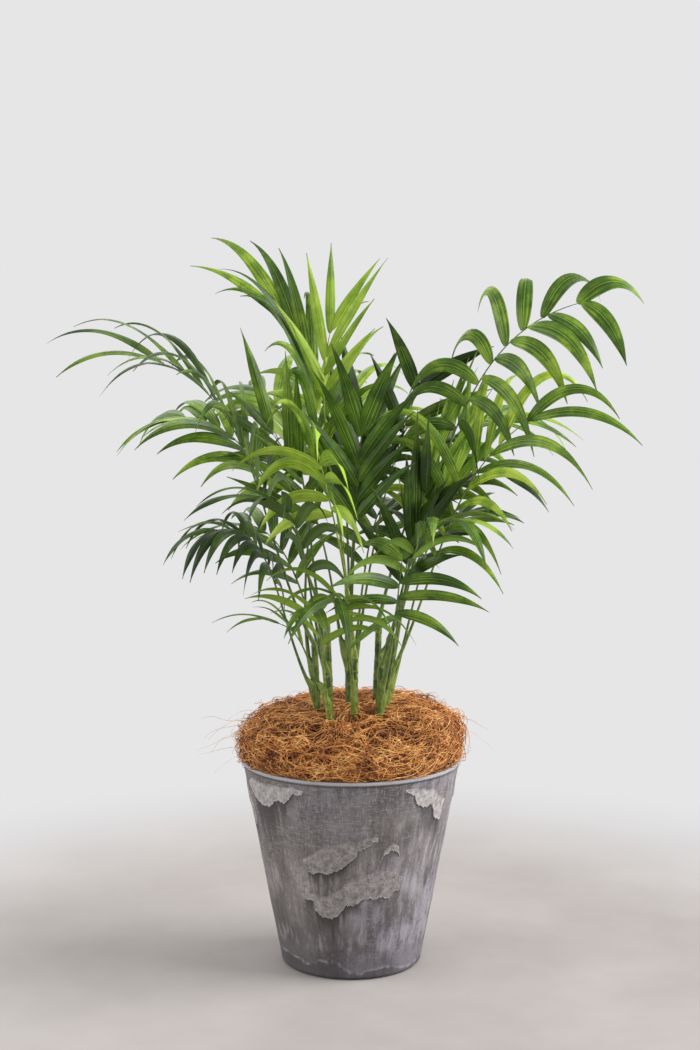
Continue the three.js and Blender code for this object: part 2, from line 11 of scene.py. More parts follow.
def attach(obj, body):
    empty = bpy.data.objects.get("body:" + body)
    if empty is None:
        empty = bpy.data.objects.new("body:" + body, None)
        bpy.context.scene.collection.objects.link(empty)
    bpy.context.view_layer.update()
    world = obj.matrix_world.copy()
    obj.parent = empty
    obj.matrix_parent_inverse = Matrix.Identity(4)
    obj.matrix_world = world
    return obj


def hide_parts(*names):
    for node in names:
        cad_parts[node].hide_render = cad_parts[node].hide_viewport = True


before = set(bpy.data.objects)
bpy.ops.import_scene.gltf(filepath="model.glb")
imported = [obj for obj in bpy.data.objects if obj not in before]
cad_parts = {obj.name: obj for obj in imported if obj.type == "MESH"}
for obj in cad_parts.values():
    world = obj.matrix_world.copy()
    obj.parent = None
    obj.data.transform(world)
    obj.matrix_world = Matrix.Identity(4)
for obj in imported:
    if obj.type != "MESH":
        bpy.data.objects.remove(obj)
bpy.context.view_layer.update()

MM = 0.001


# Pot: a straight-sided taper with a rounded foot and a thin pale lip, moulded in one piece from a matte
# stone-look mix. It stands on the floor and carries everything else.
POT_HEIGHT = 170.5
POT_RIM_RADIUS = 89.2
POT_FOOT_RADIUS = 57.0
POT_FOOT_EDGE = 4.0
POT_FOOT_EDGE_STEPS = 6
POT_WALL = 3.4
POT_FLOOR = 6.0
UP = Vector((0, 0, 1))
UNDERSIDE_RING = 9.0
UNDERSIDE_BEVEL = 1.5
UNDERSIDE_RECESS = 1.2
LIP_HEIGHT = 3.2
LIP_PROUD = 0.8
WALL_SIDES = 384
WALL_RINGS = 120


class Link:
    """One output of a finish's nodes. Sums and products with it add the Math nodes they need."""

    def __init__(self, finish, socket):
        self.finish = finish
        self.socket = socket

    def calc(self, operation, *values):
        return self.finish.node("ShaderNodeMath", {"operation": operation}, values)

    def __add__(self, other):
        return self.calc("ADD", self, other)

    def __radd__(self, other):
        return self.calc("ADD", other, self)

    def __sub__(self, other):
        return self.calc("SUBTRACT", self, other)

    def __rsub__(self, other):
        return self.calc("SUBTRACT", other, self)

    def __mul__(self, other):
        return self.calc("MULTIPLY", self, other)

    def __rmul__(self, other):
        return self.calc("MULTIPLY", other, self)

    def __abs__(self):
        return self.calc("ABSOLUTE", self)

    def sine(self):
        return self.calc("SINE", self)

    def axes(self):
        parts = self.finish.node("ShaderNodeSeparateXYZ", {}, (self,))
        return [Link(self.finish, socket) for socket in parts.socket.node.outputs]

    def stretch(self, x, y, z):
        return self.finish.node("ShaderNodeVectorMath", {"operation": "MULTIPLY"}, (self, (x, y, z)))

    def cloud(self, scale, detail=3.0, rough=0.5):
        """Noise over the piece, from this place."""
        values = {"Vector": self, "Scale": scale, "Detail": detail, "Roughness": rough}
        return self.finish.node("ShaderNodeTexNoise", {}, values)

    def ramp(self, *stops):
        return self.finish.node("ShaderNodeValToRGB", {"stops": stops}, (self,))

    def smooth(self, low, high):
        """Rises softly from 0 to 1 as this goes from low to high, or falls if high is the lower one."""
        values = {"Value": self, "From Min": low, "From Max": high}
        return self.finish.node("ShaderNodeMapRange", {"interpolation_type": "SMOOTHSTEP"}, values)


class Finish:
    """A material: its shader, and the nodes that feed it."""

    def __init__(self, name, **constants):
        self.material = bpy.data.materials.new(name)
        self.material.use_nodes = True
        self.tree = self.material.node_tree
        self.shader = self.tree.nodes["Principled BSDF"]
        for socket, value in constants.items():
            self.shader.inputs[socket.replace("_", " ")].default_value = value

    def node(self, kind, settings, values=(), output=0):
        made = self.tree.nodes.new(kind)
        for setting, value in settings.items():
            if setting == "stops":
                ramp = made.color_ramp.elements
                while len(ramp) < len(value):
                    ramp.new(0.5)
                for stop, (place, colour) in zip(ramp, value):
                    stop.position = place
                    stop.color = (*colour, 1)
            else:
                setattr(made, setting, value)
        pairs = values.items() if isinstance(values, dict) else enumerate(values)
        for socket, value in pairs:
            if isinstance(value, Link):
                self.tree.links.new(value.socket, made.inputs[socket])
            elif isinstance(value, tuple) and len(made.inputs[socket].default_value) == 4:
                made.inputs[socket].default_value = (*value, 1)
            else:
                made.inputs[socket].default_value = value
        return Link(self, made.outputs[output])

    def place(self):
        """The place on the piece, in metres."""
        return self.node("ShaderNodeTexCoord", {}, output="Object")

    def attribute(self, name):
        return self.node("ShaderNodeAttribute", {"attribute_name": name}, output="Fac")

    def blend(self, share, a, b, way="MIX"):
        settings = {"data_type": "RGBA", "blend_type": way}
        return self.node("ShaderNodeMix", settings, {0: share, 6: a, 7: b}, output=2)

    def coats(self, colour, *coats):
        """Colours laid over one another, each by its own mask."""
        for share, coat in coats:
            colour = self.blend(share, colour, coat)
        return colour

    def feed(self, socket, link):
        self.tree.links.new(link.socket, self.shader.inputs[socket])

    def relief(self, height, distance, strength=1.0):
        values = {"Height": height, "Distance": distance, "Strength": strength}
        self.feed("Normal", self.node("ShaderNodeBump", {}, values))


def new_piece(name, points, faces, finish, slot, nodes=()):
    """A piece from points in metres and faces, settled in its place."""
    mesh = bpy.data.meshes.new(name)
    mesh.from_pydata(points, [], faces)
    mesh.materials.append(finish.material)
    mesh.shade_smooth()
    piece = bpy.data.objects.new(name, mesh)
    bpy.context.collection.objects.link(piece)
    settle(piece, slot, nodes)
    return piece


def settle(piece, slot, nodes=()):
    """Lets a piece ride on the one body, with its finish, in place of the CAD nodes named."""
    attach(piece, "root")
    if nodes:
        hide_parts(*nodes)


def mark(piece, name, values):
    """Gives each point of a piece a number that its finish reads."""
    piece.data.attributes.new(name, "FLOAT", "POINT").data.foreach_set("value", values)


def pot_radius(z):
    """The wall's outer radius at a height, without its swell."""
    return POT_FOOT_RADIUS + (POT_RIM_RADIUS - POT_FOOT_RADIUS) * z / POT_HEIGHT


def next_ring(radius, z, was):
    """Pulls the open ring up or down to a height and to a radius."""
    bpy.ops.mesh.extrude_edges_move(TRANSFORM_OT_translate={"value": (0, 0, (z - was[1]) * MM)})
    grow = radius / was[0]
    bpy.ops.transform.resize(value=(grow, grow, 1), center_override=(0, 0, z * MM))
    return radius, z


bpy.ops.object.select_all(action="DESELECT")
lip_foot = POT_HEIGHT - LIP_HEIGHT
foot_radius = pot_radius(POT_FOOT_EDGE) - POT_FOOT_EDGE
bpy.ops.mesh.primitive_circle_add(vertices=WALL_SIDES, radius=foot_radius * MM, fill_type="NGON")
pot = bpy.context.object
pot.name = "pot_shell"
bpy.ops.object.mode_set(mode="EDIT")
bpy.ops.mesh.select_all(action="SELECT")
bpy.ops.mesh.inset(thickness=UNDERSIDE_RING * MM)
bpy.ops.mesh.inset(thickness=UNDERSIDE_BEVEL * MM, depth=UNDERSIDE_RECESS * MM)
bpy.ops.mesh.select_mode(type="EDGE")
bpy.ops.mesh.select_all(action="SELECT")
bpy.ops.mesh.region_to_loop()
ring = (foot_radius, 0.0)
for turn in range(1, POT_FOOT_EDGE_STEPS + 1):
    angle = math.pi / 2 * turn / POT_FOOT_EDGE_STEPS
    outward = foot_radius + POT_FOOT_EDGE * math.sin(angle)
    ring = next_ring(outward, POT_FOOT_EDGE * (1 - math.cos(angle)), ring)
for step in range(1, WALL_RINGS + 1):
    z = POT_FOOT_EDGE + (lip_foot - POT_FOOT_EDGE) * step / WALL_RINGS
    ring = next_ring(pot_radius(z), z, ring)
lip = POT_RIM_RADIUS + LIP_PROUD
inner = POT_RIM_RADIUS - POT_WALL
lip_profile = [
    (lip - 0.35, lip_foot + 0.1), (lip - 0.05, lip_foot + 0.5), (lip, lip_foot + 1.0),
    (lip, POT_HEIGHT - 1.0), (lip - 0.15, POT_HEIGHT - 0.35), (lip - 0.6, POT_HEIGHT),
    (inner + 0.8, POT_HEIGHT), (inner + 0.2, POT_HEIGHT - 0.3), (inner, POT_HEIGHT - 0.8),
]
for radius, z in lip_profile:
    ring = next_ring(radius, z, ring)
ring = next_ring(inner - 2.5, POT_HEIGHT - 14, ring)
next_ring(pot_radius(POT_FLOOR) - POT_WALL, POT_FLOOR, ring)
bpy.ops.mesh.edge_face_add()
bpy.ops.mesh.select_all(action="SELECT")
bpy.ops.mesh.normals_make_consistent(inside=False)
bpy.ops.object.mode_set(mode="OBJECT")

OUTLINES = {
    # lower and upper edge of a torn sheet: degrees round the pot from its middle, heights above the floor
    "crest": (
        [(-22, 101), (-21, 98), (-19, 94), (-16, 91), (-12, 94), (-7, 92), (-2, 95), (2, 97.5),
         (6, 102.5), (11, 108), (12, 113), (16, 114.5), (21, 120), (23.5, 121)],
        [(-22, 104), (-18, 109), (-14, 114), (-7, 121), (-1, 122.5), (12, 122.5), (17, 125),
         (23.5, 124.5)],
    ),
    "apron": (
        [(-33, 73), (-29.5, 68.3), (-24.2, 68.6), (-23.6, 60), (-18.6, 55), (-12, 54), (-8.6, 56),
         (-4.5, 62), (-2.8, 65.6), (4.3, 66.4), (7.5, 70.6), (13, 71.7), (16.3, 70), (19.6, 72.4),
         (25.6, 70), (29.3, 76), (32.4, 76), (34.3, 83)],
        [(-33, 75), (-31, 86), (-26.5, 90), (-24.5, 78), (-19.7, 75.5), (-14, 77.5), (-5, 85), (-1, 91),
         (5, 94), (15, 99), (23.5, 99.5), (31.4, 93.5), (34.3, 87)],
    ),
    "collar": (
        [(-23, 155), (-18, 149.6), (-14.7, 145.2), (-9.6, 142), (-1.4, 142.6), (2.2, 148), (6.4, 150.5),
         (9.6, 147.8), (13.6, 153.7), (16, 158.2), (19, 157.4), (22.7, 159.5)],
        [(-23, 158), (-18, 165), (16, 165), (22.7, 162)],
    ),
    "tongue": (
        [(-15.8, 160.5), (-9.7, 155.6), (-7.9, 148.8), (-2.5, 143.9), (3.9, 145.5), (6.5, 139),
         (7.6, 133), (13.9, 128.9), (15.8, 133), (17, 145)],
        [(-15.8, 162), (-10.4, 163.5), (-3.5, 163), (5.5, 160), (11.7, 153), (17, 147)],
    ),
    "chip": (
        [(-6, 104.5), (-4.4, 108.4), (-1.8, 109.6), (0.5, 112.3), (2.4, 110.4), (4.6, 109), (5.6, 105.5)],
        [(-6, 106), (-4.4, 113), (0.5, 119), (4.6, 116), (5.6, 109)],
    ),
}
SHEETS = [
    # outline, bearing of its middle, stretch round the pot, lift, paleness, thickness, how far the dark
    # runs below it, seed
    ("crest", -98, 1, 0, 0.35, 0.95, 24, 8),
    ("apron", -91, 1, 0, 0.45, 0.85, 34, 5),
    ("collar", -138, 1, 0, 0.9, 0.75, 70, 9),
    ("tongue", -45, 1, 0, 1.0, 0.75, 62, 10),
    ("chip", -66, 1, 0, 0.4, 0.6, 9, 11),
    ("chip", 3, 1.5, 34, 0.7, 0.6, 22, 12),
    ("apron", 40, -0.62, -12, 0.45, 0.8, 44, 13),
    ("collar", 82, -0.75, 0, 0.8, 0.75, 58, 15),
    ("crest", 124, 1.15, 7, 0.4, 0.9, 30, 14),
    ("chip", 151, -1.2, -38, 0.3, 0.6, 12, 16),
    ("tongue", -173, 0.8, -9, 0.6, 0.7, 46, 18),
]


def around(angle):
    """The level direction at an angle round the pot."""
    return Vector((math.cos(angle), math.sin(angle), 0))


def bumps(spot, *sizes):
    """Unevenness at a place: how often and how deep it is, in each of its sizes."""
    return sum(noise.noise(spot * often) * deep for often, deep in sizes)


def ease(share):
    """A share from 0 to 1, made to start and end softly."""
    share = min(1.0, max(0.0, share))
    return share * share * (3 - 2 * share)


def level_on(edge, offset):
    """The height of a sheet's edge at an offset from the sheet's middle."""
    return float(np.interp(offset, [at for at, _ in edge], [level for _, level in edge]))


def swell(angle, z):
    """How far the wall stands off its true taper: a slow swell and a fine roughness, none at the lip."""
    spot = (around(angle) * pot_radius(z) + UP * z) * MM
    rough = noise.fractal(spot * 45, 1.0, 2.0, 3) * 0.35 + noise.noise(spot * 260) * 0.08
    return rough * min(1, max(0, (lip_foot - 2 - z) / 6))


def stain_and_shadow_at(bearing, z):
    """How dark the wall is: painted shadow darkest right at the torn edge of a sheet, and a dark stain
    running down from it in streaks.
    """
    dark = 0.0
    for shape, middle, stretch, lift, _, _, run, seed in SHEETS:
        edge = OUTLINES[shape][0]
        offset = ((bearing - middle + 180) % 360 - 180) / stretch
        if not edge[0][0] < offset < edge[-1][0]:
            continue
        level = level_on(edge, offset)
        below = level + lift - z
        streak = noise.noise(Vector((bearing * 0.13, seed, 0)))
        streak += 0.7 * noise.noise(Vector((bearing * 0.5, seed, 4)))
        reach = run * max(0.12, 0.55 + 1.1 * streak)
        ends = ease(min(offset - edge[0][0], edge[-1][0] - offset) / 4)
        hangs = ease((sum(tall for _, tall in edge) / len(edge) - level) / 14 + 0.62)
        under = 1 - below / (reach * (0.3 + 0.7 * hangs)) if below > 0 else 1 + below / 3
        dark = max(dark, ends * (0.45 + 0.55 * hangs) * under)
    return ease(dark)


# Painted shadow right under the sheets' torn edges, and their dark stain streaks, at each point of the wall
stains_and_shadows = []
for vertex in pot.data.vertices:
    spot = vertex.co
    angle, z = math.atan2(spot.y, spot.x), spot.z / MM
    on_wall = z > POT_FOOT_EDGE and math.hypot(spot.x, spot.y) > (pot_radius(z) - 1) * MM
    stains_and_shadows.append(stain_and_shadow_at(math.degrees(angle), z) if on_wall else 0.0)
    if on_wall:
        vertex.co = spot + Vector((spot.x, spot.y, 0)).normalized() * (swell(angle, z) * MM)
pot.data.shade_smooth()
mark(pot, "stain", stains_and_shadows)


def stone_look(finish, spot):
    """The pot's grey: clouded, brushed down the wall, scuffed both ways in places, dark and mottled at the
    foot, with painted shade low down and to the left and painted light in a paler, cooler patch on the front
    right, and stained in streaks below its torn sheets, with painted shadow right under their edges. Gives
    its colour and its height."""
    x, y, z = spot.axes()
    broad = spot.cloud(13, 2, 0.5)
    clouds = spot.cloud(30, 5, 0.62)
    runs = spot.stretch(1, 1, 0.07).cloud(190, 5, 0.66)
    wide_runs = spot.stretch(1, 1, 0.1).cloud(58, 3, 0.5)
    hairs_down = spot.stretch(1, 1, 0.14).cloud(900, 3, 0.6)
    hairs_round = spot.stretch(1, 1, 9).cloud(130, 3, 0.6)
    fine = spot.cloud(430, 5, 0.75)
    grey = (clouds * 0.26 + runs * 0.27 + wide_runs * 0.27 + fine * 0.2).ramp(
        (0.36, (0.062, 0.053, 0.051)), (0.46, (0.122, 0.106, 0.102)), (0.54, (0.2, 0.178, 0.174)),
        (0.66, (0.385, 0.355, 0.357)),
    )
    scuffed = (broad + z.smooth(0.085, 0.13) * 0.16).smooth(0.5, 0.62)
    brushed = ((hairs_down + runs) * 0.5).smooth(0.5, 0.62) * (1 - scuffed)
    # Painted light: a paler, bluer patch on the front right side of the wall, towards the key lamp
    painted_light_right = (broad + x * 2.4 - y * 1.6 - z).smooth(0.4, 0.74) * y.smooth(0.035, -0.035)
    # Painted shade: the wall is darker low down, and more so on its left side, away from the key lamp
    painted_shade_low_left = (z + clouds * 0.03).smooth(0.105, 0.04) * (0.5 + 0.4 * x.smooth(0.0, -0.055))
    foot = (z + clouds * 0.03).smooth(0.05, 0.032)
    dull = ((fine + clouds) * 0.5).ramp((0.4, (0.062, 0.054, 0.057)), (0.62, (0.165, 0.148, 0.152)))
    wave = z + clouds * 0.028 + broad * 0.02
    tide = wave.smooth(0.0375, 0.035) * wave.smooth(0.0325, 0.035) * runs.smooth(0.42, 0.56)
    streaked = z + runs * 0.03
    smears = streaked.smooth(0.062, 0.05) * streaked.smooth(0.04, 0.047) * runs.smooth(0.48, 0.6)
    grey = finish.coats(
        grey,
        (brushed * 0.4, (0.36, 0.33, 0.33)),
        (scuffed * 0.65, (0.09, 0.078, 0.075)),
        (scuffed * hairs_round.smooth(0.52, 0.64) * 0.55, (0.3, 0.275, 0.27)),
        (scuffed * hairs_down.smooth(0.53, 0.66) * 0.5, (0.33, 0.3, 0.3)),
        (fine.smooth(0.62, 0.72) * 0.5, (0.37, 0.345, 0.345)),
        (fine.smooth(0.4, 0.3) * 0.6, (0.05, 0.043, 0.043)),
        (painted_shade_low_left * (1 - painted_light_right * 0.7), (0.07, 0.061, 0.06)),
        (painted_light_right * (clouds + runs).smooth(0.85, 1.15) * 0.5, (0.4, 0.375, 0.395)),
        (foot * 0.7, dull),
        (wave.smooth(0.036, 0.033) * 0.55, (0.062, 0.056, 0.062)),
        (tide * 0.7, (0.29, 0.27, 0.275)),
        (smears * 0.55, (0.3, 0.28, 0.285)),
    )
    grey = finish.blend(painted_light_right, grey, (0.91, 0.92, 1.0), "MULTIPLY")
    # Painted shadow right under the torn sheets' edges, with the dark stain streaks that run down from them
    stain = finish.attribute("stain")
    stain = stain * (runs * 0.6 + hairs_down * 0.4 + stain * 0.35).smooth(0.42, 0.66)
    grey = finish.blend(stain * 0.95, grey, (0.046, 0.04, 0.041))
    return grey, fine * 0.6 + runs * 0.4 + hairs_down * 0.35


pot_finish = Finish("weathered_stone_look")
spot = pot_finish.place()
colour, height = stone_look(pot_finish, spot)
_, _, z = spot.axes()
# Painted shade on the lip: its band turns a darker, bluer grey, partly its own colour and partly painted
# shade
edge = z.smooth((lip_foot - 0.1) * MM, (lip_foot + 0.4) * MM)
# Painted shadow in a thin dark band just under the lip
line = z.smooth((lip_foot - 2.0) * MM, lip_foot * MM) * (1 - edge)
worn = (z + height * 0.0009).smooth((POT_HEIGHT - 2.0) * MM, (POT_HEIGHT - 1.0) * MM)
pot_finish.feed("Base Color", pot_finish.coats(
    colour,
    (line * 0.75, (0.055, 0.05, 0.054)),
    (edge * 0.65, (0.11, 0.103, 0.11)),
    (worn * 0.8, (0.375, 0.368, 0.375)),
))
pot_finish.feed("Roughness", 0.72 + 0.2 * height)
pot_finish.relief(height, 0.35 * MM, 0.8)
pot.data.materials.append(pot_finish.material)
settle(pot, "weathered_pot", ["pot"])


# Peeled sheets on the pot: the stone look comes off in thin sheets, faded into the wall along their tops
# and torn off below in ragged, slightly lifted edges, which carry a painted highlight. They are the same mix
# as the wall, a little paler.
SHEET_ROWS = [0.0, 0.02, 0.045, 0.08, 0.13, 0.2, 0.3, 0.42, 0.56, 0.72, 0.87, 1.0]
COLUMNS_PER_DEGREE = 4.2
SHEET_SUNK = 0.7
SHEET_BACK = 0.35
SHEET_RAGGED = [(0.5, 1.2), (1.1, 1.6), (2.4, 1.3)]  # how often, and how deep, a torn edge wanders

sheet_points, sheet_faces, sheet_looks = [], [], []
for shape, middle, stretch, lift, paleness, thickness, _, seed in SHEETS:
    lower, upper = OUTLINES[shape]
    first = len(sheet_points)
    width = lower[-1][0] - lower[0][0]
    columns = int(width * abs(stretch) * COLUMNS_PER_DEGREE)
    shares = [0.0, 0.003] + [i / columns for i in range(1, columns)] + [0.997, 1.0]
    for column, share in enumerate(shares):
        offset = lower[0][0] + width * share
        bearing = middle + offset * stretch
        turn = math.radians(bearing)
        ragged = sum(noise.noise(Vector((bearing * often, seed, 2))) * deep for often, deep in SHEET_RAGGED)
        low = level_on(lower, offset) + lift + ragged
        high = max(level_on(upper, offset) + lift, low + 1.5)
        tall = high - low
        end = column in (0, len(shares) - 1)
        for row, part in [(-1, 0.0)] + list(enumerate(SHEET_ROWS)):
            z = min(low + tall * part, lip_foot - 0.3)
            fade = 1 - ease((part - 0.5) / 0.5)
            rim = math.exp(-(((z - low) / 0.75) ** 2))
            at = Vector((bearing * 1.3, z, seed * 9.1))
            crumb = bumps(at, (0.3, 0.3), (0.9, 0.16), (2.2, 0.07))
            rise = thickness * fade * (0.8 + crumb) + 0.28 * rim - 0.2 * (1 - fade)
            if row < 0 or end or part == 1.0:
                rise = -SHEET_SUNK
            if row < 0:
                z += SHEET_BACK
            radius = pot_radius(z) + swell(turn, z) + rise
            sheet_points.append((radius * math.cos(turn) * MM, radius * math.sin(turn) * MM, z * MM))
            sheet_looks.append((fade, rim * fade, stain_and_shadow_at(bearing, z) * (1 - fade), paleness))
    ring = len(SHEET_ROWS) + 1
    last = first + (len(shares) - 1) * ring
    for a in range(first, last, ring):
        for row in range(ring):
            after = (row + 1) % ring
            corners = (a + row, a + ring + row, a + ring + after, a + after)
            sheet_faces.append(corners if stretch > 0 else corners[::-1])
    caps = [tuple(first + row for row in range(ring)), tuple(last + row for row in reversed(range(ring)))]
    sheet_faces += caps if stretch > 0 else [cap[::-1] for cap in caps]

sheet_finish = Finish("peeled_stone_look", Roughness=0.88)
spot = sheet_finish.place()
ground, height = stone_look(sheet_finish, spot)
mottle = spot.cloud(210, 6, 0.8)
grain = spot.cloud(700, 3, 0.6)
plaster = (mottle * 0.6 + grain * 0.4).ramp(
    (0.38, (0.088, 0.076, 0.073)), (0.5, (0.178, 0.157, 0.151)), (0.63, (0.315, 0.288, 0.281)),
)
paler = mottle.ramp((0.36, (0.2, 0.18, 0.174)), (0.6, (0.49, 0.46, 0.456)))
plaster = sheet_finish.coats(
    plaster,
    (sheet_finish.attribute("paleness") * 0.8, paler),
    # Painted highlight along the curled lower rim of each torn sheet
    (sheet_finish.attribute("rim") * 0.65, (0.43, 0.405, 0.4)),
)
share = (sheet_finish.attribute("fade") + mottle * 0.5).smooth(0.3, 1.0)
sheet_finish.feed("Base Color", sheet_finish.blend(share, ground, plaster))
sheet_finish.relief(height + mottle * 1.4 + grain * 0.8, 0.5 * MM, 0.9)
sheets = new_piece("pot_flakes", sheet_points, sheet_faces, sheet_finish, "weathered_pot")
for name, looks in zip(["fade", "rim", "stain", "paleness"], zip(*sheet_looks)):
    mark(sheets, name, looks)


# Potting soil: a moist, crumbly mix of peat and bark, pressed in round the canes up to the mulch. It hardly
# shows, so the CAD solid keeps its shape and only gets its finish here.
soil_finish = Finish("potting_mix", Roughness=0.95)
spot = soil_finish.place()
crumbs = soil_finish.node("ShaderNodeTexVoronoi", {}, {"Vector": spot, "Scale": 320.0})
damp = spot.cloud(40)
soil_colour = (crumbs * 0.6 + damp * 0.4).ramp((0.2, (0.012, 0.008, 0.006)), (0.8, (0.075, 0.045, 0.028)))
soil_finish.feed("Base Color", soil_colour)
soil_finish.relief(crumbs, 2 * MM)
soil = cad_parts["potting_soil"]
soil.data.materials.clear()
soil.data.materials.append(soil_finish.material)


# Coir mulch: a loose pad of curled coconut fibre, laid by hand over the soil round the canes. It fills the
# rim at the front and stands up above it at the sides and the back. Under it lies a matted bed, painted dark
# as the shade in the pits between the fibres.
COIR_TOP = 209.0
COIR_REACH = 84.5
COIR_HIGH_SIDE = 60
COIR_TILT = 6.0
COIR_FRONT = (174.0, 2.1)  # the height of the mound's edge, and how full its curve is
COIR_SIDE = (183.0, 2.9)
COIR_MIDDLE = Vector((0, 0, 165))
COIR_CURVE = 62.0
COIR_LAST_TURN = 1.95
RIM_INSIDE = 167.0
RIM_REACH = 84.0
BED_FOOT_RADIUS = 83.0
BED_FOOT_DEPTH = 14.0
BED_SIDES = 160
BED_RINGS = 54
FIBRE_SIDES = 3
FIBRE_STEPS = 12
STRAY_STEPS = 26
COIR_TONES = [
    # name, number of fibres, radius, how far they stand off the bed, darkest, middle and palest colour
    # Painted shade and light: the darkest fibres lie deepest, as painted shade in the pits, and the gold ones
    # stand furthest out, partly their own colour and partly painted light
    ("coir_shade", 1900, 0.27, -0.4, (0.035, 0.008, 0.002), (0.15, 0.036, 0.007), (0.34, 0.095, 0.018)),
    ("coir_body", 2850, 0.22, 1.0, (0.1, 0.024, 0.005), (0.435, 0.132, 0.024), (0.78, 0.325, 0.074)),
    ("coir_gold", 1700, 0.19, 2.8, (0.33, 0.102, 0.022), (0.82, 0.36, 0.082), (1.0, 0.67, 0.27)),
]


def coir_at(turn, angle):
    """The mound in mm: turn is 0 at its top and a right angle at its edge, from where it drops down inside
    the rim, and angle goes round the pot."""
    side = ease((math.sin(angle) + 0.95) / 0.65)
    level, power = (front + (aside - front) * side for front, aside in zip(COIR_FRONT, COIR_SIDE))
    share = math.sin(min(turn, math.pi / 2)) ** (2 / power)
    tilt = COIR_TILT * math.cos(angle - math.radians(COIR_HIGH_SIDE))
    z = level + tilt * share + (COIR_TOP - level) * math.cos(min(turn, math.pi / 2)) ** (2 / power)
    z += (RIM_INSIDE - z) * ease((turn - math.pi / 2) / (COIR_LAST_TURN - math.pi / 2))
    spot = around(angle) * (COIR_REACH * share) + UP * z
    lump = bumps(spot, (0.055, 3.0), (0.14, 2.6), (0.3, 1.4))
    return spot + UP * (lump * min(1.0, max(0.1, (math.pi / 2 - turn) * 1.4)))


def sleeve_faces(first, rings, sides):
    """Faces of a closed sleeve: quads between its rings of points, and a cap over either end."""
    last = first + (rings - 1) * sides
    loop = [(i, (i + 1) % sides) for i in range(sides)]
    quads = [(a + i, a + j, a + sides + j, a + sides + i) for a in range(first, last, sides) for i, j in loop]
    return quads + [tuple(range(first + sides - 1, first - 1, -1)), tuple(range(last, last + sides))]


bed_points = []
for row in range(BED_RINGS + 1):
    for i in range(BED_SIDES):
        angle = 2 * math.pi * i / BED_SIDES
        if row == 0:
            point = around(angle) * BED_FOOT_RADIUS + UP * (POT_HEIGHT - BED_FOOT_DEPTH)
        else:
            point = coir_at(COIR_LAST_TURN * (1 - (row - 1) / (BED_RINGS - 1)) + 1e-4, angle)
            tangle = noise.fractal(point * 0.35, 0.7, 2.1, 4) * 1.3
            point += (point - COIR_MIDDLE).normalized() * (tangle - 1.2)
        bed_points.append(tuple(point * MM))

bed_finish = Finish("matted_coir", Roughness=0.9)
spot = bed_finish.place()
tangle = bed_finish.node(
    "ShaderNodeTexWave", {"wave_type": "BANDS"},
    {"Vector": spot, "Scale": 260.0, "Distortion": 22.0, "Detail": 4.0, "Detail Scale": 1.6},
)
mat = spot.cloud(240, 5, 0.7)
# Painted shade: the bed is kept near black to stand for the shade in the pits between the fibres
bed_colour = (tangle * 0.45 + mat * 0.55).ramp(
    (0.25, (0.008, 0.003, 0.001)), (0.5, (0.032, 0.01, 0.003)), (0.8, (0.13, 0.045, 0.012)),
)
bed_finish.feed("Base Color", bed_colour)
bed_finish.relief(tangle + mat, 1.2 * MM)
bed_faces = sleeve_faces(0, BED_RINGS + 1, BED_SIDES)
new_piece("coir_bed", bed_points, bed_faces, bed_finish, "coir", ["coir_mulch"])


def tubes(lines, radii, sides):
    """Thin closed tubes along many lines at once, in mm. Each line has a radius for each of its points."""
    count, steps, _ = lines.shape
    along = np.gradient(lines, axis=1)
    along /= np.linalg.norm(along, axis=2, keepdims=True) + 1e-9
    up = np.where(np.abs(along[..., 2:3]) > 0.8, np.array([1.0, 0, 0]), np.array([0, 0, 1.0]))
    across = np.cross(along, up)
    across /= np.linalg.norm(across, axis=2, keepdims=True)
    over = np.cross(across, along)
    turns = 2 * np.pi * np.arange(sides) / sides
    round_ = np.cos(turns)[:, None] * across[:, :, None, :] + np.sin(turns)[:, None] * over[:, :, None, :]
    points = (lines[:, :, None, :] + round_ * radii[:, :, None, None]).reshape(-1, 3) * MM
    at = (np.arange(count)[:, None, None] * steps + np.arange(steps - 1)[None, :, None]) * sides
    one = np.arange(sides)[None, None, :]
    two = (one + 1) % sides
    quads = np.stack([at + one, at + sides + one, at + sides + two, at + two], -1).reshape(-1, 4)
    first = np.arange(count)[:, None] * steps * sides
    near = first + np.arange(sides)[None, :]
    far = first + (steps - 1) * sides + np.arange(sides)[None, ::-1]
    return points.tolist(), quads.tolist() + near.tolist() + far.tolist()


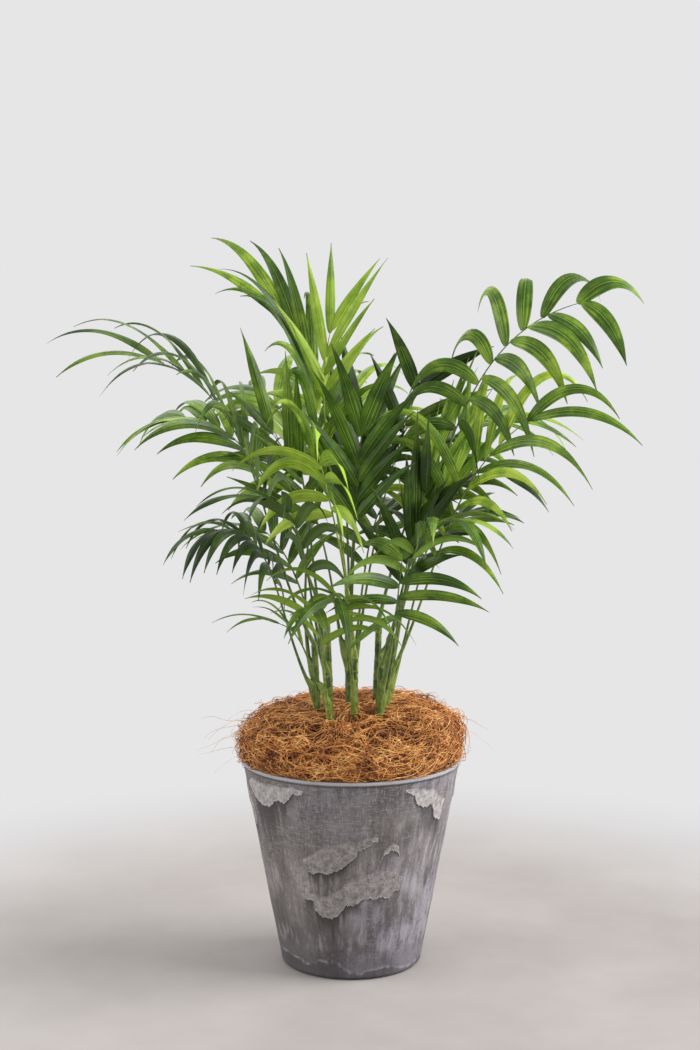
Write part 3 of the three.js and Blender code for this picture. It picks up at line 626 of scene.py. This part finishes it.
for tone, (name, number, radius, stand_off, dark, middle, pale) in enumerate(COIR_TONES):
    chance = random.Random(301 + tone)
    lines = []
    for _ in range(number):
        turn = math.acos(chance.uniform(0.0, 1.0) ** 1.25)
        if chance.random() < 0.2:
            turn = chance.uniform(1.35, COIR_LAST_TURN)
        angle = chance.uniform(-math.pi, math.pi)
        side = ease((math.sin(angle) + 0.9) / 0.5)
        wild = turn > 0.9 and chance.random() < 0.26 * side
        heading = chance.uniform(-math.pi, math.pi)
        bend = chance.gauss(0, 0.045 if chance.random() < 0.6 else 0.2)
        step = chance.uniform(1.5, 4.4) if tone < 2 else chance.uniform(2.2, 6.2)
        arch = chance.uniform(0.0, 4.5) + (chance.uniform(2, 8) if wild else 0)
        lift = stand_off + chance.uniform(-1.0, 1.6)
        waver = chance.uniform(0, 6.3)
        line = []
        for k in range(FIBRE_STEPS):
            share = k / (FIBRE_STEPS - 1)
            turn = min(COIR_LAST_TURN, max(0.02, turn))
            base = coir_at(turn, angle)
            away = lift + arch * math.sin(math.pi * share) + 0.9 * math.sin(waver + 5 * share)
            point = base + (base - COIR_MIDDLE).normalized() * away
            out = math.hypot(point.x, point.y)
            if out > RIM_REACH and point.z < POT_HEIGHT + 0.6:
                point.x *= RIM_REACH / out
                point.y *= RIM_REACH / out
            line.append(tuple(point))
            heading += bend * step + chance.gauss(0, 0.1)
            turn += step * math.cos(heading) / COIR_CURVE
            angle += step * math.sin(heading) / max(12.0, math.hypot(base.x, base.y))
        lines.append(line)
    lines = np.array(lines)
    thin = radius * (1 - 0.45 * np.abs(np.linspace(-1, 1, FIBRE_STEPS)) ** 3)
    radii = np.array([chance.uniform(0.55, 1.5) for _ in range(number)])[:, None] * thin[None, :]
    points, faces = tubes(lines, radii, FIBRE_SIDES)
    fibre_finish = Finish(name + "_fibre", Roughness=0.55)
    spot = fibre_finish.place()
    clump = spot.cloud(48, 3, 0.6)
    strand = spot.cloud(170, 4, 0.75)
    tint = (clump * 0.45 + strand * 0.55).ramp((0.38, dark), (0.5, middle), (0.62, pale))
    x, y, z = spot.axes()
    # Painted shade with some soil: fibres low down at the front, and more so to the left, go towards their
    # darkest tone
    damp = (z + x * 0.12 + clump * 0.012).smooth(0.19, 0.168)
    damp = damp * y.smooth(-0.02, -0.06) * 0.4
    fibre_finish.feed("Base Color", fibre_finish.blend(damp, tint, dark))
    fibre_finish.relief(spot.cloud(2600, 2), 0.1 * MM)
    new_piece(name, points, faces, fibre_finish, "coir")

# A few long strands have sprung out of the pad and arch over the rim: their bearing, reach and number
STRAYS = [(180, 46, 9), (0, 26, 9), (90, 24, 8), (-150, 18, 4), (-30, 14, 5)]
STRAY_RADIUS = 0.17
chance = random.Random(77)
strays = []
for side, reach, number in STRAYS:
    for _ in range(number):
        angle = math.radians(side + chance.uniform(-32, 32))
        start = coir_at(chance.uniform(1.0, 1.5), angle)
        out = around(angle)
        sideways = Vector((-out.y, out.x, 0)) * chance.uniform(-22, 22)
        run, climb, sag = reach * chance.uniform(0.45, 1.15), chance.uniform(2, 16), chance.uniform(4, 26)
        curl, waver = chance.uniform(0, 2.2), chance.uniform(0, 6.3)
        line = []
        for k in range(STRAY_STEPS):
            share = k / (STRAY_STEPS - 1)
            point = start + out * (run * share) + sideways * share**1.6
            point.z += 2 + climb * share - sag * share**2.4
            point += (sideways.normalized() + UP) * (curl * math.sin(waver + 9 * share) * share)
            line.append(tuple(point))
        strays.append(line)
radii = STRAY_RADIUS * (1 - 0.5 * np.linspace(0, 1, STRAY_STEPS) ** 2)
points, faces = tubes(np.array(strays), np.tile(radii, (len(strays), 1)), FIBRE_SIDES)
new_piece("coir_strays", points, faces, fibre_finish, "coir")


# Canes: slim green stems from the soil, ringed where old leaves let go and wrapped towards their tops in
# the sheaths of the leaves they carry. They flare a little at the soil.
SOIL_TOP = 150.0
GAP = 0.3
CANE_TOP_RADIUS = 2.5
CANE_FOOT_RADIUS = 3.2
FLARE_RADIUS = 5.4
FLARE_HEIGHT = 12.0
CANE_RING_SPACING = 15.0
CANE_SIDES = 24
CANE_STEPS = 96
CANES = {
    # foot at the soil, and top, in mm
    "left": ((-24, -5), (-30, -6, 264)),
    "left_back": ((-15, 16), (-20, 22, 276)),
    "left_front": ((-14, -22), (-19, -29, 246)),
    "front": ((2, -24), (3, -31, 258)),
    "right_front": ((19, -21), (24, -28, 250)),
    "right": ((25, -2), (31, -3, 268)),
    "right_back": ((18, 17), (23, 22, 280)),
    "back": ((1, 25), (0, 34, 262)),
    "middle": ((-1, 1), (-3, 3, 300)),
}


def cane_shape(z, height, angle, seed):
    """The cane's radius at a height above the soil, with its scars and furrows, and how much is scar."""
    share = z / height
    flare = (FLARE_RADIUS - CANE_FOOT_RADIUS) * max(0.0, 1 - z / FLARE_HEIGHT) ** 2
    radius = CANE_FOOT_RADIUS + (CANE_TOP_RADIUS - CANE_FOOT_RADIUS) * share + flare
    slant = 1.2 * math.sin(angle + seed * 2.1)
    place = ((z + slant + seed * 5.3) / (CANE_RING_SPACING + 2 * (seed % 3))) % 1.0
    scar = math.exp(-(((place - 0.5) / 0.045) ** 2))
    sleeve = 0.28 * (1 - place) if share > 0.5 else 0.0
    furrow = 0.05 * math.cos(9 * angle + seed)
    return radius * 0.95 + scar * 0.32 + sleeve + furrow, scar


cane_points, cane_faces, cane_scars = [], [], []
for seed, (foot, top) in enumerate(CANES.values()):
    foot_point = Vector((*foot, SOIL_TOP + GAP))
    top_point = Vector(top)
    height = top[2] - SOIL_TOP
    start = len(cane_points)
    for step in range(CANE_STEPS + 1):
        z = height * step / CANE_STEPS
        centre = foot_point.lerp(top_point, step / CANE_STEPS)
        for i in range(CANE_SIDES):
            angle = 2 * math.pi * i / CANE_SIDES
            radius, scar = cane_shape(z, height, angle, seed)
            cane_scars.append(scar)
            cane_points.append(tuple((centre + around(angle) * radius) * MM))
    cane_faces += sleeve_faces(start, CANE_STEPS + 1, CANE_SIDES)

cane_finish = Finish("green_cane", Specular_IOR_Level=0.35)
spot = cane_finish.place()
_, _, z = spot.axes()
streaks = spot.stretch(1, 1, 0.05).cloud(1100, 3, 0.6)
patches = spot.cloud(60, 4, 0.65)
green = (streaks * 0.55 + patches * 0.45).ramp(
    (0.36, (0.012, 0.03, 0.005)), (0.5, (0.049, 0.086, 0.012)), (0.64, (0.155, 0.205, 0.041)),
)
husk = (z + patches * 0.06).smooth(0.25, 0.215)
dry = streaks.ramp((0.4, (0.07, 0.045, 0.018)), (0.62, (0.3, 0.215, 0.095)))
cane_finish.feed("Base Color", cane_finish.coats(
    green,
    (cane_finish.attribute("scar") * 0.65, (0.27, 0.26, 0.11)),
    (husk * (0.35 + 0.6 * patches), dry),
))
cane_finish.feed("Roughness", 0.45 + 0.3 * husk)
cane_finish.relief(streaks, 0.35 * MM, 0.8)
cane_nodes = ["cane_" + name for name in CANES]
canes = new_piece("canes", cane_points, cane_faces, cane_finish, "cane", cane_nodes)
mark(canes, "scar", cane_scars)


# Petioles and ribs: the green stalk of each frond, from its sheath on the cane out to the tip of the blade.
# It is channelled on top, thins to a wire at its end, and is one growth with the leaflets it carries.
PETIOLE_RADIUS = 1.9
RIB_END_RADIUS = 0.6
STALK_SIDES = 12
STALK_STEPS = 44
SHEATH_BELOW = 20.0
SHEATH_ABOVE = 9.0
SHEATH_RINGS = 12
SHEATH_THICKNESS = 0.25
SHEATH_WRAPPED = 0.6
SEAT_PULL = 0.42
TIP_PULL = 0.34
YOUNG_STALKS = {4: 0.85, 3: 0.4, 2: 0.25}  # how pale the stalks of the younger tones are
Frond = namedtuple("Frond", [
    "name", "cane", "seat", "heading", "reach", "rise", "lean", "slope", "start", "pairs", "length",
    "width", "opening", "droop", "roll", "facing", "tone",
])
FRONDS = [Frond(*row) for row in [
    ("left_far", "left", 0, 189, 153, 324, 24, 22, 0.38, 9, 110, 12, 44, 0.95, 8, None, 0),
    ("left_high", "left", 18, 176, 52, 354, 6, 53, 0.54, 7, 98, 15, 20, 0.8, 30, None, 1),
    ("top_young", "middle", 0, 196, 17, 349, 4, 104, 0.72, 4, 78, 12, 30, 0.2, 0, 88, 4),
    ("right_high", "right", 0, 355, 184, 371, 16, 14, 0.48, 8, 74, 19, 74, 1.9, -58, None, 1),
    ("right_long", "right", 24, 344, 146, 280, 22, 34, 0.36, 8, 104, 13, 48, 1.2, -55, None, 2),
    ("front_young", "front", 0, 252, 90, 268, 10, 66, 0.62, 5, 70, 17, 68, 1.5, 24, 66, 4),
    ("right_low", "right_front", 14, 306, 68, 172, 16, 78, 0.5, 4, 64, 15, 84, 0.8, 0, 105, 1),
    ("right_back_low", "right_back", 30, 32, 108, 192, 20, 20, 0.5, 5, 64, 13, 52, 0.6, -20, None, 0),
    ("left_low", "left", 34, 193, 112, 190, 24, -12, 0.46, 8, 60, 11, 58, 1.9, 20, None, 0),
    ("left_lowest", "left_front", 14, 208, 66, 116, 28, 16, 0.5, 3, 54, 8, 40, 0.8, 0, None, 2),
    ("front_low", "front", 26, 263, 93, 146, 20, -6, 0.5, 4, 68, 11, 58, 1.2, 14, None, 2),
    ("left_back", "left_back", 0, 150, 164, 272, 22, 0, 0.42, 8, 78, 17, 52, 1.3, 20, None, 2),
    ("right_back_upright", "back", 12, 36, 68, 300, 8, 70, 0.6, 4, 74, 16, 62, 0.3, 0, 85, 0),
    ("right_spear", "right", 10, 2, 66, 244, 8, 70, 0.5, 5, 98, 12, 20, 0.1, 0, 120, 2),
    ("middle_back", "middle", 14, 79, 43, 262, 8, 80, 0.5, 5, 86, 18, 30, 0.2, 0, 105, 0),
    ("back_high", "back", 0, 97, 119, 300, 14, 24, 0.45, 7, 84, 16, 50, 0.9, 0, None, 1),
    ("right_back", "right_back", 0, 40, 166, 274, 14, 2, 0.42, 7, 82, 15, 50, 1.2, -15, None, 1),
    ("left_back_high", "left_back", 20, 126, 129, 292, 14, 14, 0.45, 7, 82, 16, 50, 0.9, 10, None, 1),
    ("left_front", "left_front", 0, 232, 108, 222, 20, 8, 0.42, 5, 66, 13, 50, 1.2, 0, None, 0),
    ("right_front", "right_front", 0, 312, 117, 206, 20, 4, 0.42, 5, 66, 13, 50, 1.2, 0, None, 1),
    ("back_low", "back", 24, 75, 132, 196, 20, -4, 0.42, 6, 74, 14, 50, 0.9, 0, None, 0),
    ("left_back_low", "left_back", 38, 135, 123, 180, 20, 2, 0.42, 6, 68, 14, 50, 0.9, 10, None, 1),
    ("front_lowest", "left_front", 26, 250, 92, 138, 24, 0, 0.42, 4, 54, 12, 50, 0.9, 0, None, 3),
    ("middle_front", "middle", 30, 286, 30, 268, 10, 74, 0.5, 5, 80, 17, 34, 0.3, 0, 82, 1),
    ("right_back_middle", "right_back", 44, 16, 118, 234, 20, 8, 0.42, 6, 72, 15, 50, 0.9, -20, None, 0),
    ("right_spear_outer", "right", 38, 6, 92, 254, 12, 64, 0.5, 5, 92, 11, 20, 0.12, 0, 110, 2),
    ("left_centre", "middle", 40, 170, 66, 266, 8, 52, 0.5, 5, 88, 15, 36, 0.3, 0, 75, 2),
    ("right_centre", "right_front", 26, 345, 62, 222, 8, 70, 0.5, 5, 78, 17, 34, 0.3, 0, 95, 0),
]]


class Rib:
    """The line that a frond's stalk follows, in mm, from its seat on the cane to the end of the blade."""

    def __init__(self, frond):
        foot = Vector((*CANES[frond.cane][0], SOIL_TOP))
        top = Vector(CANES[frond.cane][1])
        end = around(math.radians(frond.heading)) * frond.reach + UP * (POT_HEIGHT + frond.rise)
        self.up = (top - foot).normalized()
        self.run = Vector((end.x - top.x, end.y - top.y, 0)).normalized()
        self.side = (self.run - self.up * self.run.dot(self.up)).normalized()
        share = frond.seat / (top - foot).length
        self.cane_radius = CANE_TOP_RADIUS + (CANE_FOOT_RADIUS - CANE_TOP_RADIUS) * share
        if frond.seat == 0:
            base = top + self.up * GAP
        else:
            base = top - self.up * frond.seat + self.side * (self.cane_radius + PETIOLE_RADIUS + GAP)
        self.span = (end - base).length
        lean, slope = math.radians(frond.lean), math.radians(frond.slope)
        out = (self.up * math.cos(lean) + self.run * math.sin(lean)).normalized()
        into = self.run * math.cos(slope) + UP * math.sin(slope)
        self.points = [base, base + out * self.span * SEAT_PULL, end - into * self.span * TIP_PULL, end]
        self.plane = self.run if frond.facing is None else around(math.radians(frond.facing))
        self.roll = math.radians(frond.roll)

    def point(self, t):
        a, b, c, d = self.points
        s = 1 - t
        return a * s**3 + b * 3 * s * s * t + c * 3 * s * t * t + d * t**3

    def frame(self, t, plane, roll):
        """The way along the line at t, the way its face looks, and the way across it."""
        a, b, c, d = self.points
        s = 1 - t
        along = ((b - a) * 3 * s * s + (c - b) * 6 * s * t + (d - c) * 3 * t * t).normalized()
        level = math.sqrt(max(0.0, 1 - along.z * along.z))
        face = UP * level - plane * along.z
        face = (face - along * face.dot(along)).normalized()
        across = along.cross(face)
        cos, sin = math.cos(roll), math.sin(roll)
        return along, face * cos - across * sin, across * cos + face * sin


def rib_radius(t):
    """How the stalk and rib thin from their seat, at 0, to their tip, at 1."""
    return RIB_END_RADIUS + (PETIOLE_RADIUS - RIB_END_RADIUS) * (1 - t) ** 1.5


stalk_points, stalk_faces, stalk_pale = [], [], []
ribs = {}
for frond in FRONDS:
    rib = Rib(frond)
    ribs[frond.name] = rib
    paleness = YOUNG_STALKS.get(frond.tone, 0.1)
    # The sheath wraps the cane below the seat, then opens on the inner side and narrows to the stalk
    rings = []
    cane_half = rib.cane_radius + SHEATH_THICKNESS
    offset = 0.0 if frond.seat == 0 else cane_half + PETIOLE_RADIUS
    above = SHEATH_ABOVE / (3 * SEAT_PULL * rib.span)
    for k in range(SHEATH_RINGS):
        share = k / SHEATH_RINGS
        if share < SHEATH_WRAPPED:
            wrap = share / SHEATH_WRAPPED
            on_axis = rib.points[0] - rib.side * offset - rib.up * (SHEATH_BELOW * (1 - wrap))
            outer = cane_half + (offset + PETIOLE_RADIUS - cane_half) * ease(wrap)
            inner = -cane_half
            wide = cane_half
        else:
            opened = (share - SHEATH_WRAPPED) / (1 - SHEATH_WRAPPED)
            on_axis = rib.point(above * opened) - rib.side * offset
            outer = offset + PETIOLE_RADIUS
            inner = -cane_half + (offset - PETIOLE_RADIUS + cane_half) * ease(opened)
            wide = cane_half + (PETIOLE_RADIUS - cane_half) * opened
        centre = on_axis + rib.side * ((outer + inner) / 2)
        rings.append((centre, -rib.side, rib.up.cross(-rib.side), (outer - inner) / 2, wide, 0.0))
    for step in range(STALK_STEPS + 1):
        t = above + (1 - above) * (step / STALK_STEPS) ** 1.15
        _, face, across = rib.frame(t, rib.run, 0)
        slim = rib_radius(t) * (0.94 - 0.22 * ease(t / 0.2)) * (1 if t < 0.97 else 0.75)
        rings.append((rib.point(t), face, across, slim, slim, ease(t / 0.1)))
    stalk_faces += sleeve_faces(len(stalk_points), len(rings), STALK_SIDES)
    for centre, face, across, deep, wide, open_by in rings:
        for i in range(STALK_SIDES):
            angle = 2 * math.pi * i / STALK_SIDES
            channel = 1 - 0.28 * max(0.0, math.cos(angle)) ** 3 * open_by
            point = centre + face * (deep * channel * math.cos(angle)) + across * (wide * math.sin(angle))
            stalk_points.append(tuple(point * MM))
            stalk_pale.append(paleness + 0.25 * (1 - open_by))

stalk_finish = Finish("green_stalk", Roughness=0.45, Specular_IOR_Level=0.35)
spot = stalk_finish.place()
pale = stalk_finish.attribute("pale")
mottle = spot.cloud(150, 4, 0.65)
streaks = spot.stretch(1, 1, 0.08).cloud(1500, 2, 0.6)
shade = mottle * 0.45 + streaks * 0.55
dark_green = shade.ramp((0.38, (0.014, 0.036, 0.005)), (0.6, (0.084, 0.136, 0.02)))
young_green = shade.ramp((0.38, (0.12, 0.18, 0.018)), (0.6, (0.4, 0.47, 0.095)))
stalk_finish.feed("Base Color", stalk_finish.blend(pale, dark_green, young_green))
stalk_finish.relief(streaks, 0.25 * MM, 0.8)
petiole_nodes = ["petiole_" + name for name in ribs if "petiole_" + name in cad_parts]
stalks = new_piece("stalks", stalk_points, stalk_faces, stalk_finish, "petiole", petiole_nodes)
mark(stalks, "pale", stalk_pale)


# Leaflets: thin lance-shaped blades in two rows along each rib, folded along a raised middle vein, pleated
# by finer veins and bent down by their own weight. Young fronds are yellow-green, old ones deep green, and
# some fronds are made darker as painted shade.
LEAFLET_THICKNESS = 1.4
LEAFLET_STEPS = 12
LEAFLET_SEED = 977
TIP_WITHIN = 0.08
BLADE_ROWS = 22
BLADE_START = 0.012
BLADE_RUN = 0.976
BLADE_FULLEST = 0.485
BLADE_THICKNESS = 0.36
BLADE_NARROWEST = 0.28
BLADE_ACROSS = [-1.0, -0.8, -0.6, -0.4, -0.2, 0.0, 0.2, 0.4, 0.6, 0.8, 1.0]
BLADE_LOOP = [(u, 0) for u in BLADE_ACROSS] + [(u, 1) for u in reversed(BLADE_ACROSS[1:-1])]
LEAFLET_TRIES = [
    # lift and opening in degrees, and size, in the order in which a leaflet looks for room
    (0, 0, 1), (14, 0, 1), (-14, 0, 1), (0, -12, 1), (0, 12, 1), (26, -8, 0.95), (-26, -8, 0.95),
    (0, -18, 0.8), (20, 10, 0.8), (-20, 10, 0.8), (0, 0, 0.62), (30, -16, 0.62),
]
TONES = [
    # name, deep, middle and light green of the upper face
    ("leaf_dark", (0.003, 0.012, 0.001), (0.022, 0.057, 0.004), (0.165, 0.262, 0.026)),
    ("leaf_mid", (0.006, 0.024, 0.001), (0.054, 0.13, 0.007), (0.31, 0.445, 0.04)),
    ("leaf_fresh", (0.013, 0.045, 0.002), (0.115, 0.232, 0.011), (0.48, 0.62, 0.066)),
    ("leaf_light", (0.028, 0.07, 0.002), (0.14, 0.25, 0.01), (0.42, 0.56, 0.062)),
    ("leaf_young", (0.06, 0.138, 0.004), (0.205, 0.34, 0.015), (0.43, 0.57, 0.075)),
]
# Fronds made darker, partly with age and partly as painted shade: at 1 a frond keeps its young colour, and
# at 0 it has its deepest
DEEPEST_YOUTH_AND_SHADE = -0.5
DARKENED = {
    "right_high": 0.85, "left_back": 0.7, "middle_front": 0.45, "left_centre": 0.5, "right_centre": 0.6,
    "middle_back": 0.6, "right_spear": 0.8, "right_spear_outer": 0.75, "front_low": 0.05,
    "front_lowest": 0.05, "left_lowest": 0.3, "left_low": 0.6, "left_front": 0.6, "left_back_low": 0.6,
    "right_low": 0.65,
}


class Draw:
    """The repeatable random numbers that the leaflets grow by."""

    def __init__(self, seed):
        self.state = seed

    def next(self):
        self.state = (1664525 * self.state + 1013904223) % 4294967296
        return self.state / 4294967296

    def spread(self, size):
        return size * (2 * self.next() - 1)


def centre_line(root, direction, face, length, droop, twist):
    """The leaflet's middle line, with the direction across the blade at each of its points."""
    across = direction.cross(face).normalized()
    point = root.copy()
    rows = [(point.copy(), direction.copy(), across.copy())]
    for step in range(LEAFLET_STEPS):
        middle = (step + 0.5) / LEAFLET_STEPS
        along = (direction - UP * (1.25 * droop * middle**1.4)).normalized()
        point = point + along * (length / LEAFLET_STEPS)
        across = (across - along * across.dot(along)).normalized()
        across = Matrix.Rotation(twist / LEAFLET_STEPS, 3, along) @ across
        rows.append((point.copy(), along.copy(), across.copy()))
    return rows


def row_at(rows, share):
    """A point of the middle line, its direction and its across, smoothed between the line's steps."""
    place = min(share * LEAFLET_STEPS, LEAFLET_STEPS - 1e-6)
    k = int(place)
    f = place - k
    before, a = rows[max(k - 1, 0)][0], rows[k][0]
    b, after = rows[k + 1][0], rows[min(k + 2, LEAFLET_STEPS)][0]
    point = 0.5 * (2 * a + (b - before) * f + (2 * before - 5 * a + 4 * b - after) * f * f
                   + (3 * a - before - 3 * b + after) * f**3)
    along = rows[k][1].lerp(rows[k + 1][1], f).normalized()
    across = rows[k][2].lerp(rows[k + 1][2], f)
    across = (across - along * across.dot(along)).normalized()
    return point, along, across


def blade(points, faces, uvs, rows, width, wave, phase):
    """Adds one leaflet: a pleated upper face and a flatter lower one, closed along its edges and ends."""
    faces += sleeve_faces(len(points), BLADE_ROWS, len(BLADE_LOOP))
    for row in range(BLADE_ROWS):
        share = BLADE_START + BLADE_RUN * (row / (BLADE_ROWS - 1)) ** 1.05
        point, along, across = row_at(rows, share)
        face = across.cross(along)
        half = max(BLADE_NARROWEST, width / 2 * share**0.56 * (1 - share) ** 1.15 / BLADE_FULLEST)
        ridge = LEAFLET_THICKNESS * (1 - 0.35 * share) * min(1.0, half / 2.2)
        thick = BLADE_THICKNESS * min(1.0, half / 1.5)
        for u, under in BLADE_LOOP:
            fold = ridge * (1 - abs(u)) ** 0.8 + 0.016 * half * (math.cos(5 * math.pi * u) - 1)
            fold -= under * thick * (1 - u**4)
            ripple = wave * half * u * abs(u) * math.sin(phase + 9 * share) * 0.13
            points.append(tuple((point + across * (half * u) + face * (fold + ripple)) * MM))
            uvs.append(((u + 1) / 2 + 2 * under, share))


def leaf_finish(name, deep, middle, light):
    """A leaf's skin: soft satin green, veined lengthways, with painted shade in the creases beside its middle
    vein, and with a duller and paler lower face.
    """
    finish = Finish(name, Specular_IOR_Level=0.28)
    spot = finish.place()
    flat = finish.node("ShaderNodeUVMap", {"uv_map": "blade"})
    across, along, _ = flat.axes()
    under = across.smooth(1.4, 1.6)
    over = across - under * 2
    from_middle = abs(over - 0.5)
    veins = (over * (2 * math.pi * 13)).sine() * 0.5 + 0.5
    rib = from_middle.smooth(0.045, 0.012)
    # Painted shade in the creases on either side of the raised middle vein
    painted_groove_shade = from_middle.smooth(0.11, 0.05) * (1 - rib)
    side_veins = veins.smooth(0.72, 0.98) * (1 - painted_groove_shade)
    clouds = spot.cloud(42, 4, 0.6)
    stripes = flat.stretch(24, 1.4, 0).cloud(1.0, 2, 0.5)
    shade = clouds.smooth(0.35, 0.65) * 0.28 + finish.attribute("youth") * 0.36
    shade = shade + stripes.smooth(0.3, 0.7) * 0.36
    dry_tip = (along + stripes * 0.05).smooth(0.93, 1.02)
    paler = tuple(v * 1.05 + w * 0.25 + 0.012 for v, w in zip(middle, light))
    tint = finish.coats(
        shade.ramp((0.12, deep), (0.46, middle), (0.77, light)),
        (side_veins * 0.13, light),
        (painted_groove_shade * 0.24, deep),
        (rib * 0.3, light),
        (dry_tip * 0.75, (0.15, 0.105, 0.03)),
        (under * 0.65, paler),
    )
    finish.feed("Base Color", tint)
    finish.feed("Roughness", 0.29 + under * 0.2 + clouds * 0.16)
    finish.relief(veins * (1 - rib) + rib * 1.8 + stripes * 0.5, 0.05 * MM, 0.8)
    return finish


def leaflets(index, frond):
    """The leaflets of a frond: the rows of each one's middle line, its width, wave, phase and youth, which
    some fronds darken as painted shade. Of the ways a leaflet could grow, the one whose tip lies on the CAD
    frond is taken."""
    rib = ribs[frond.name]
    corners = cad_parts["frond_" + frond.name].data.vertices
    tips = KDTree(len(corners))
    for i, corner in enumerate(corners):
        tips.insert(corner.co, i)
    tips.balance()
    draw = Draw(LEAFLET_SEED * (index + 1))
    look = random.Random(index)
    step = (1 - frond.start) / frond.pairs
    lightness_kept = DARKENED.get(frond.name, 1)
    for pair in range(frond.pairs):
        u = pair / (frond.pairs - 1)
        for side in (-1, 1):
            t = frond.start + step * (pair + 0.22 + (0.3 if side > 0 else 0))
            if pair == frond.pairs - 1:
                t = 0.985 + 0.01 * (side > 0)
            open_by = frond.opening * (1.12 - 0.62 * u) + draw.spread(8)
            lift_by = 20 * (1 - 0.4 * u) + draw.spread(12)
            fullness = 0.78 + 0.34 * math.sin(math.pi * (0.12 + 0.68 * u))
            length = frond.length * fullness * (1 + draw.spread(0.13))
            width = frond.width * (0.86 + 0.2 * u) * (1 + draw.spread(0.08))
            droop = frond.droop * (0.7 + 0.6 * draw.next())
            twist = draw.spread(0.85)
            wave, phase, youth = look.uniform(0.5, 1.4), look.uniform(0, 6.3), look.random()
            # Painted shade: a darkened frond pulls its leaflets' youth down towards the deepest green
            youth = DEEPEST_YOUTH_AND_SHADE + (youth - DEEPEST_YOUTH_AND_SHADE) * lightness_kept
            along, face, across = rib.frame(t, rib.plane, rib.roll)
            outward = across * side
            for lift_try, open_try, size in LEAFLET_TRIES:
                lift = math.radians(lift_by + lift_try)
                turn = math.radians(open_by + open_try)
                sideways = outward * math.cos(lift) + face * math.sin(lift)
                direction = (along * math.cos(turn) + sideways * math.sin(turn)).normalized()
                upper = face * math.cos(lift) - outward * math.sin(lift)
                root = rib.point(t) - direction * (0.6 * rib_radius(t))
                rows = centre_line(root, direction, upper, length * size, droop, twist)
                if tips.find(rows[-1][0] * MM)[2] < TIP_WITHIN * MM:
                    yield rows, width, wave, phase, youth
                    break


for tone, (slot, deep, middle, light) in enumerate(TONES):
    points, faces, uvs, youth_and_shade_values, nodes = [], [], [], [], []
    for index, frond in enumerate(FRONDS):
        if frond.tone != tone:
            continue
        nodes.append("frond_" + frond.name)
        for *shape, youth in leaflets(index, frond):
            blade(points, faces, uvs, *shape)
            youth_and_shade_values += [youth] * (BLADE_ROWS * len(BLADE_LOOP))
    piece = new_piece(slot, points, faces, leaf_finish(slot, deep, middle, light), slot, nodes)
    piece.data.set_sharp_from_angle(angle=math.radians(70))
    mark(piece, "youth", youth_and_shade_values)
    flat = piece.data.uv_layers.new(name="blade")
    for loop in piece.data.loops:
        flat.data[loop.index].uv = uvs[loop.vertex_index]


# Floor: a plain pale slab, wide enough that no edge of it shows, with painted light: lighter to the left,
# where the plant's shadow falls, and darker to the right, under the key lamp. Away from the pot it turns into
# the even pale tone of the surround.
SURROUND = (0.79, 0.79, 0.8)
FLOOR_RADIUS = 14
FLOOR_DROP = 0.0004
bpy.ops.object.select_all(action="DESELECT")
bpy.ops.mesh.primitive_circle_add(
    vertices=96, radius=FLOOR_RADIUS, fill_type="NGON", location=(0, 0, -FLOOR_DROP)
)
floor = bpy.context.object
floor.name = "floor"
bpy.ops.object.transform_apply(location=True)
floor_finish = Finish("pale_floor", Roughness=0.8, Specular_IOR_Level=0.0, Emission_Strength=1.0)
spot = floor_finish.place()
distance = floor_finish.node("ShaderNodeVectorMath", {"operation": "LENGTH"}, (spot,), output=1)
mottle = spot.cloud(7, 5, 0.6)
x, _, _ = spot.axes()
# Painted light and shade on the slab: lighter to the left, in the plant's shadow, and darker to the right,
# under the key lamp
slab_with_painted_light = (mottle * 0.4 - x * 0.3).ramp((0.0, (0.295, 0.273, 0.262)), (0.4, (0.44, 0.409, 0.391)))
far = distance.smooth(0.26, 0.62)
floor_finish.feed("Base Color", floor_finish.blend(far, slab_with_painted_light, (0.0, 0.0, 0.0)))
floor_finish.feed("Emission Color", floor_finish.blend(far, (0.0, 0.0, 0.0), SURROUND))
floor.data.materials.append(floor_finish.material)


# Light and camera: an even pale surround, one broad soft lamp from the right and above, and weaker ones
# from the left and from behind. The camera stands in front and looks slightly down.
world = bpy.data.worlds.new("pale_surround")
bpy.context.scene.world = world
world.use_nodes = True
surround = world.node_tree.nodes["Background"]
surround.inputs["Color"].default_value = (*SURROUND, 1)
surround.inputs["Strength"].default_value = 1.0
LAMPS_LOOK_AT = Vector((0, 0, 0.3))


def lamp(name, location, power, size):
    """A square soft lamp that looks at the middle of the plant."""
    bpy.ops.object.light_add(type="AREA", location=location)
    light = bpy.context.object
    light.name = name
    light.data.energy = power
    light.data.size = size
    light.rotation_euler = (LAMPS_LOOK_AT - light.location).to_track_quat("-Z", "Y").to_euler()


lamp("key", (1.75, -0.15, 1.2), 65, 1.6)
lamp("fill", (-1.8, -0.2, 0.8), 19, 1.2)
lamp("back", (-0.4, 1.5, 1.6), 8, 1.4)
bpy.context.scene.view_settings.view_transform = "Standard"

bpy.ops.object.camera_add(location=(-0.001, -1.7, 0.584), rotation=(math.radians(82.55), 0, 0))
camera = bpy.context.object
camera.data.lens = 72.7
camera.data.sensor_width = 36
bpy.context.scene.camera = camera
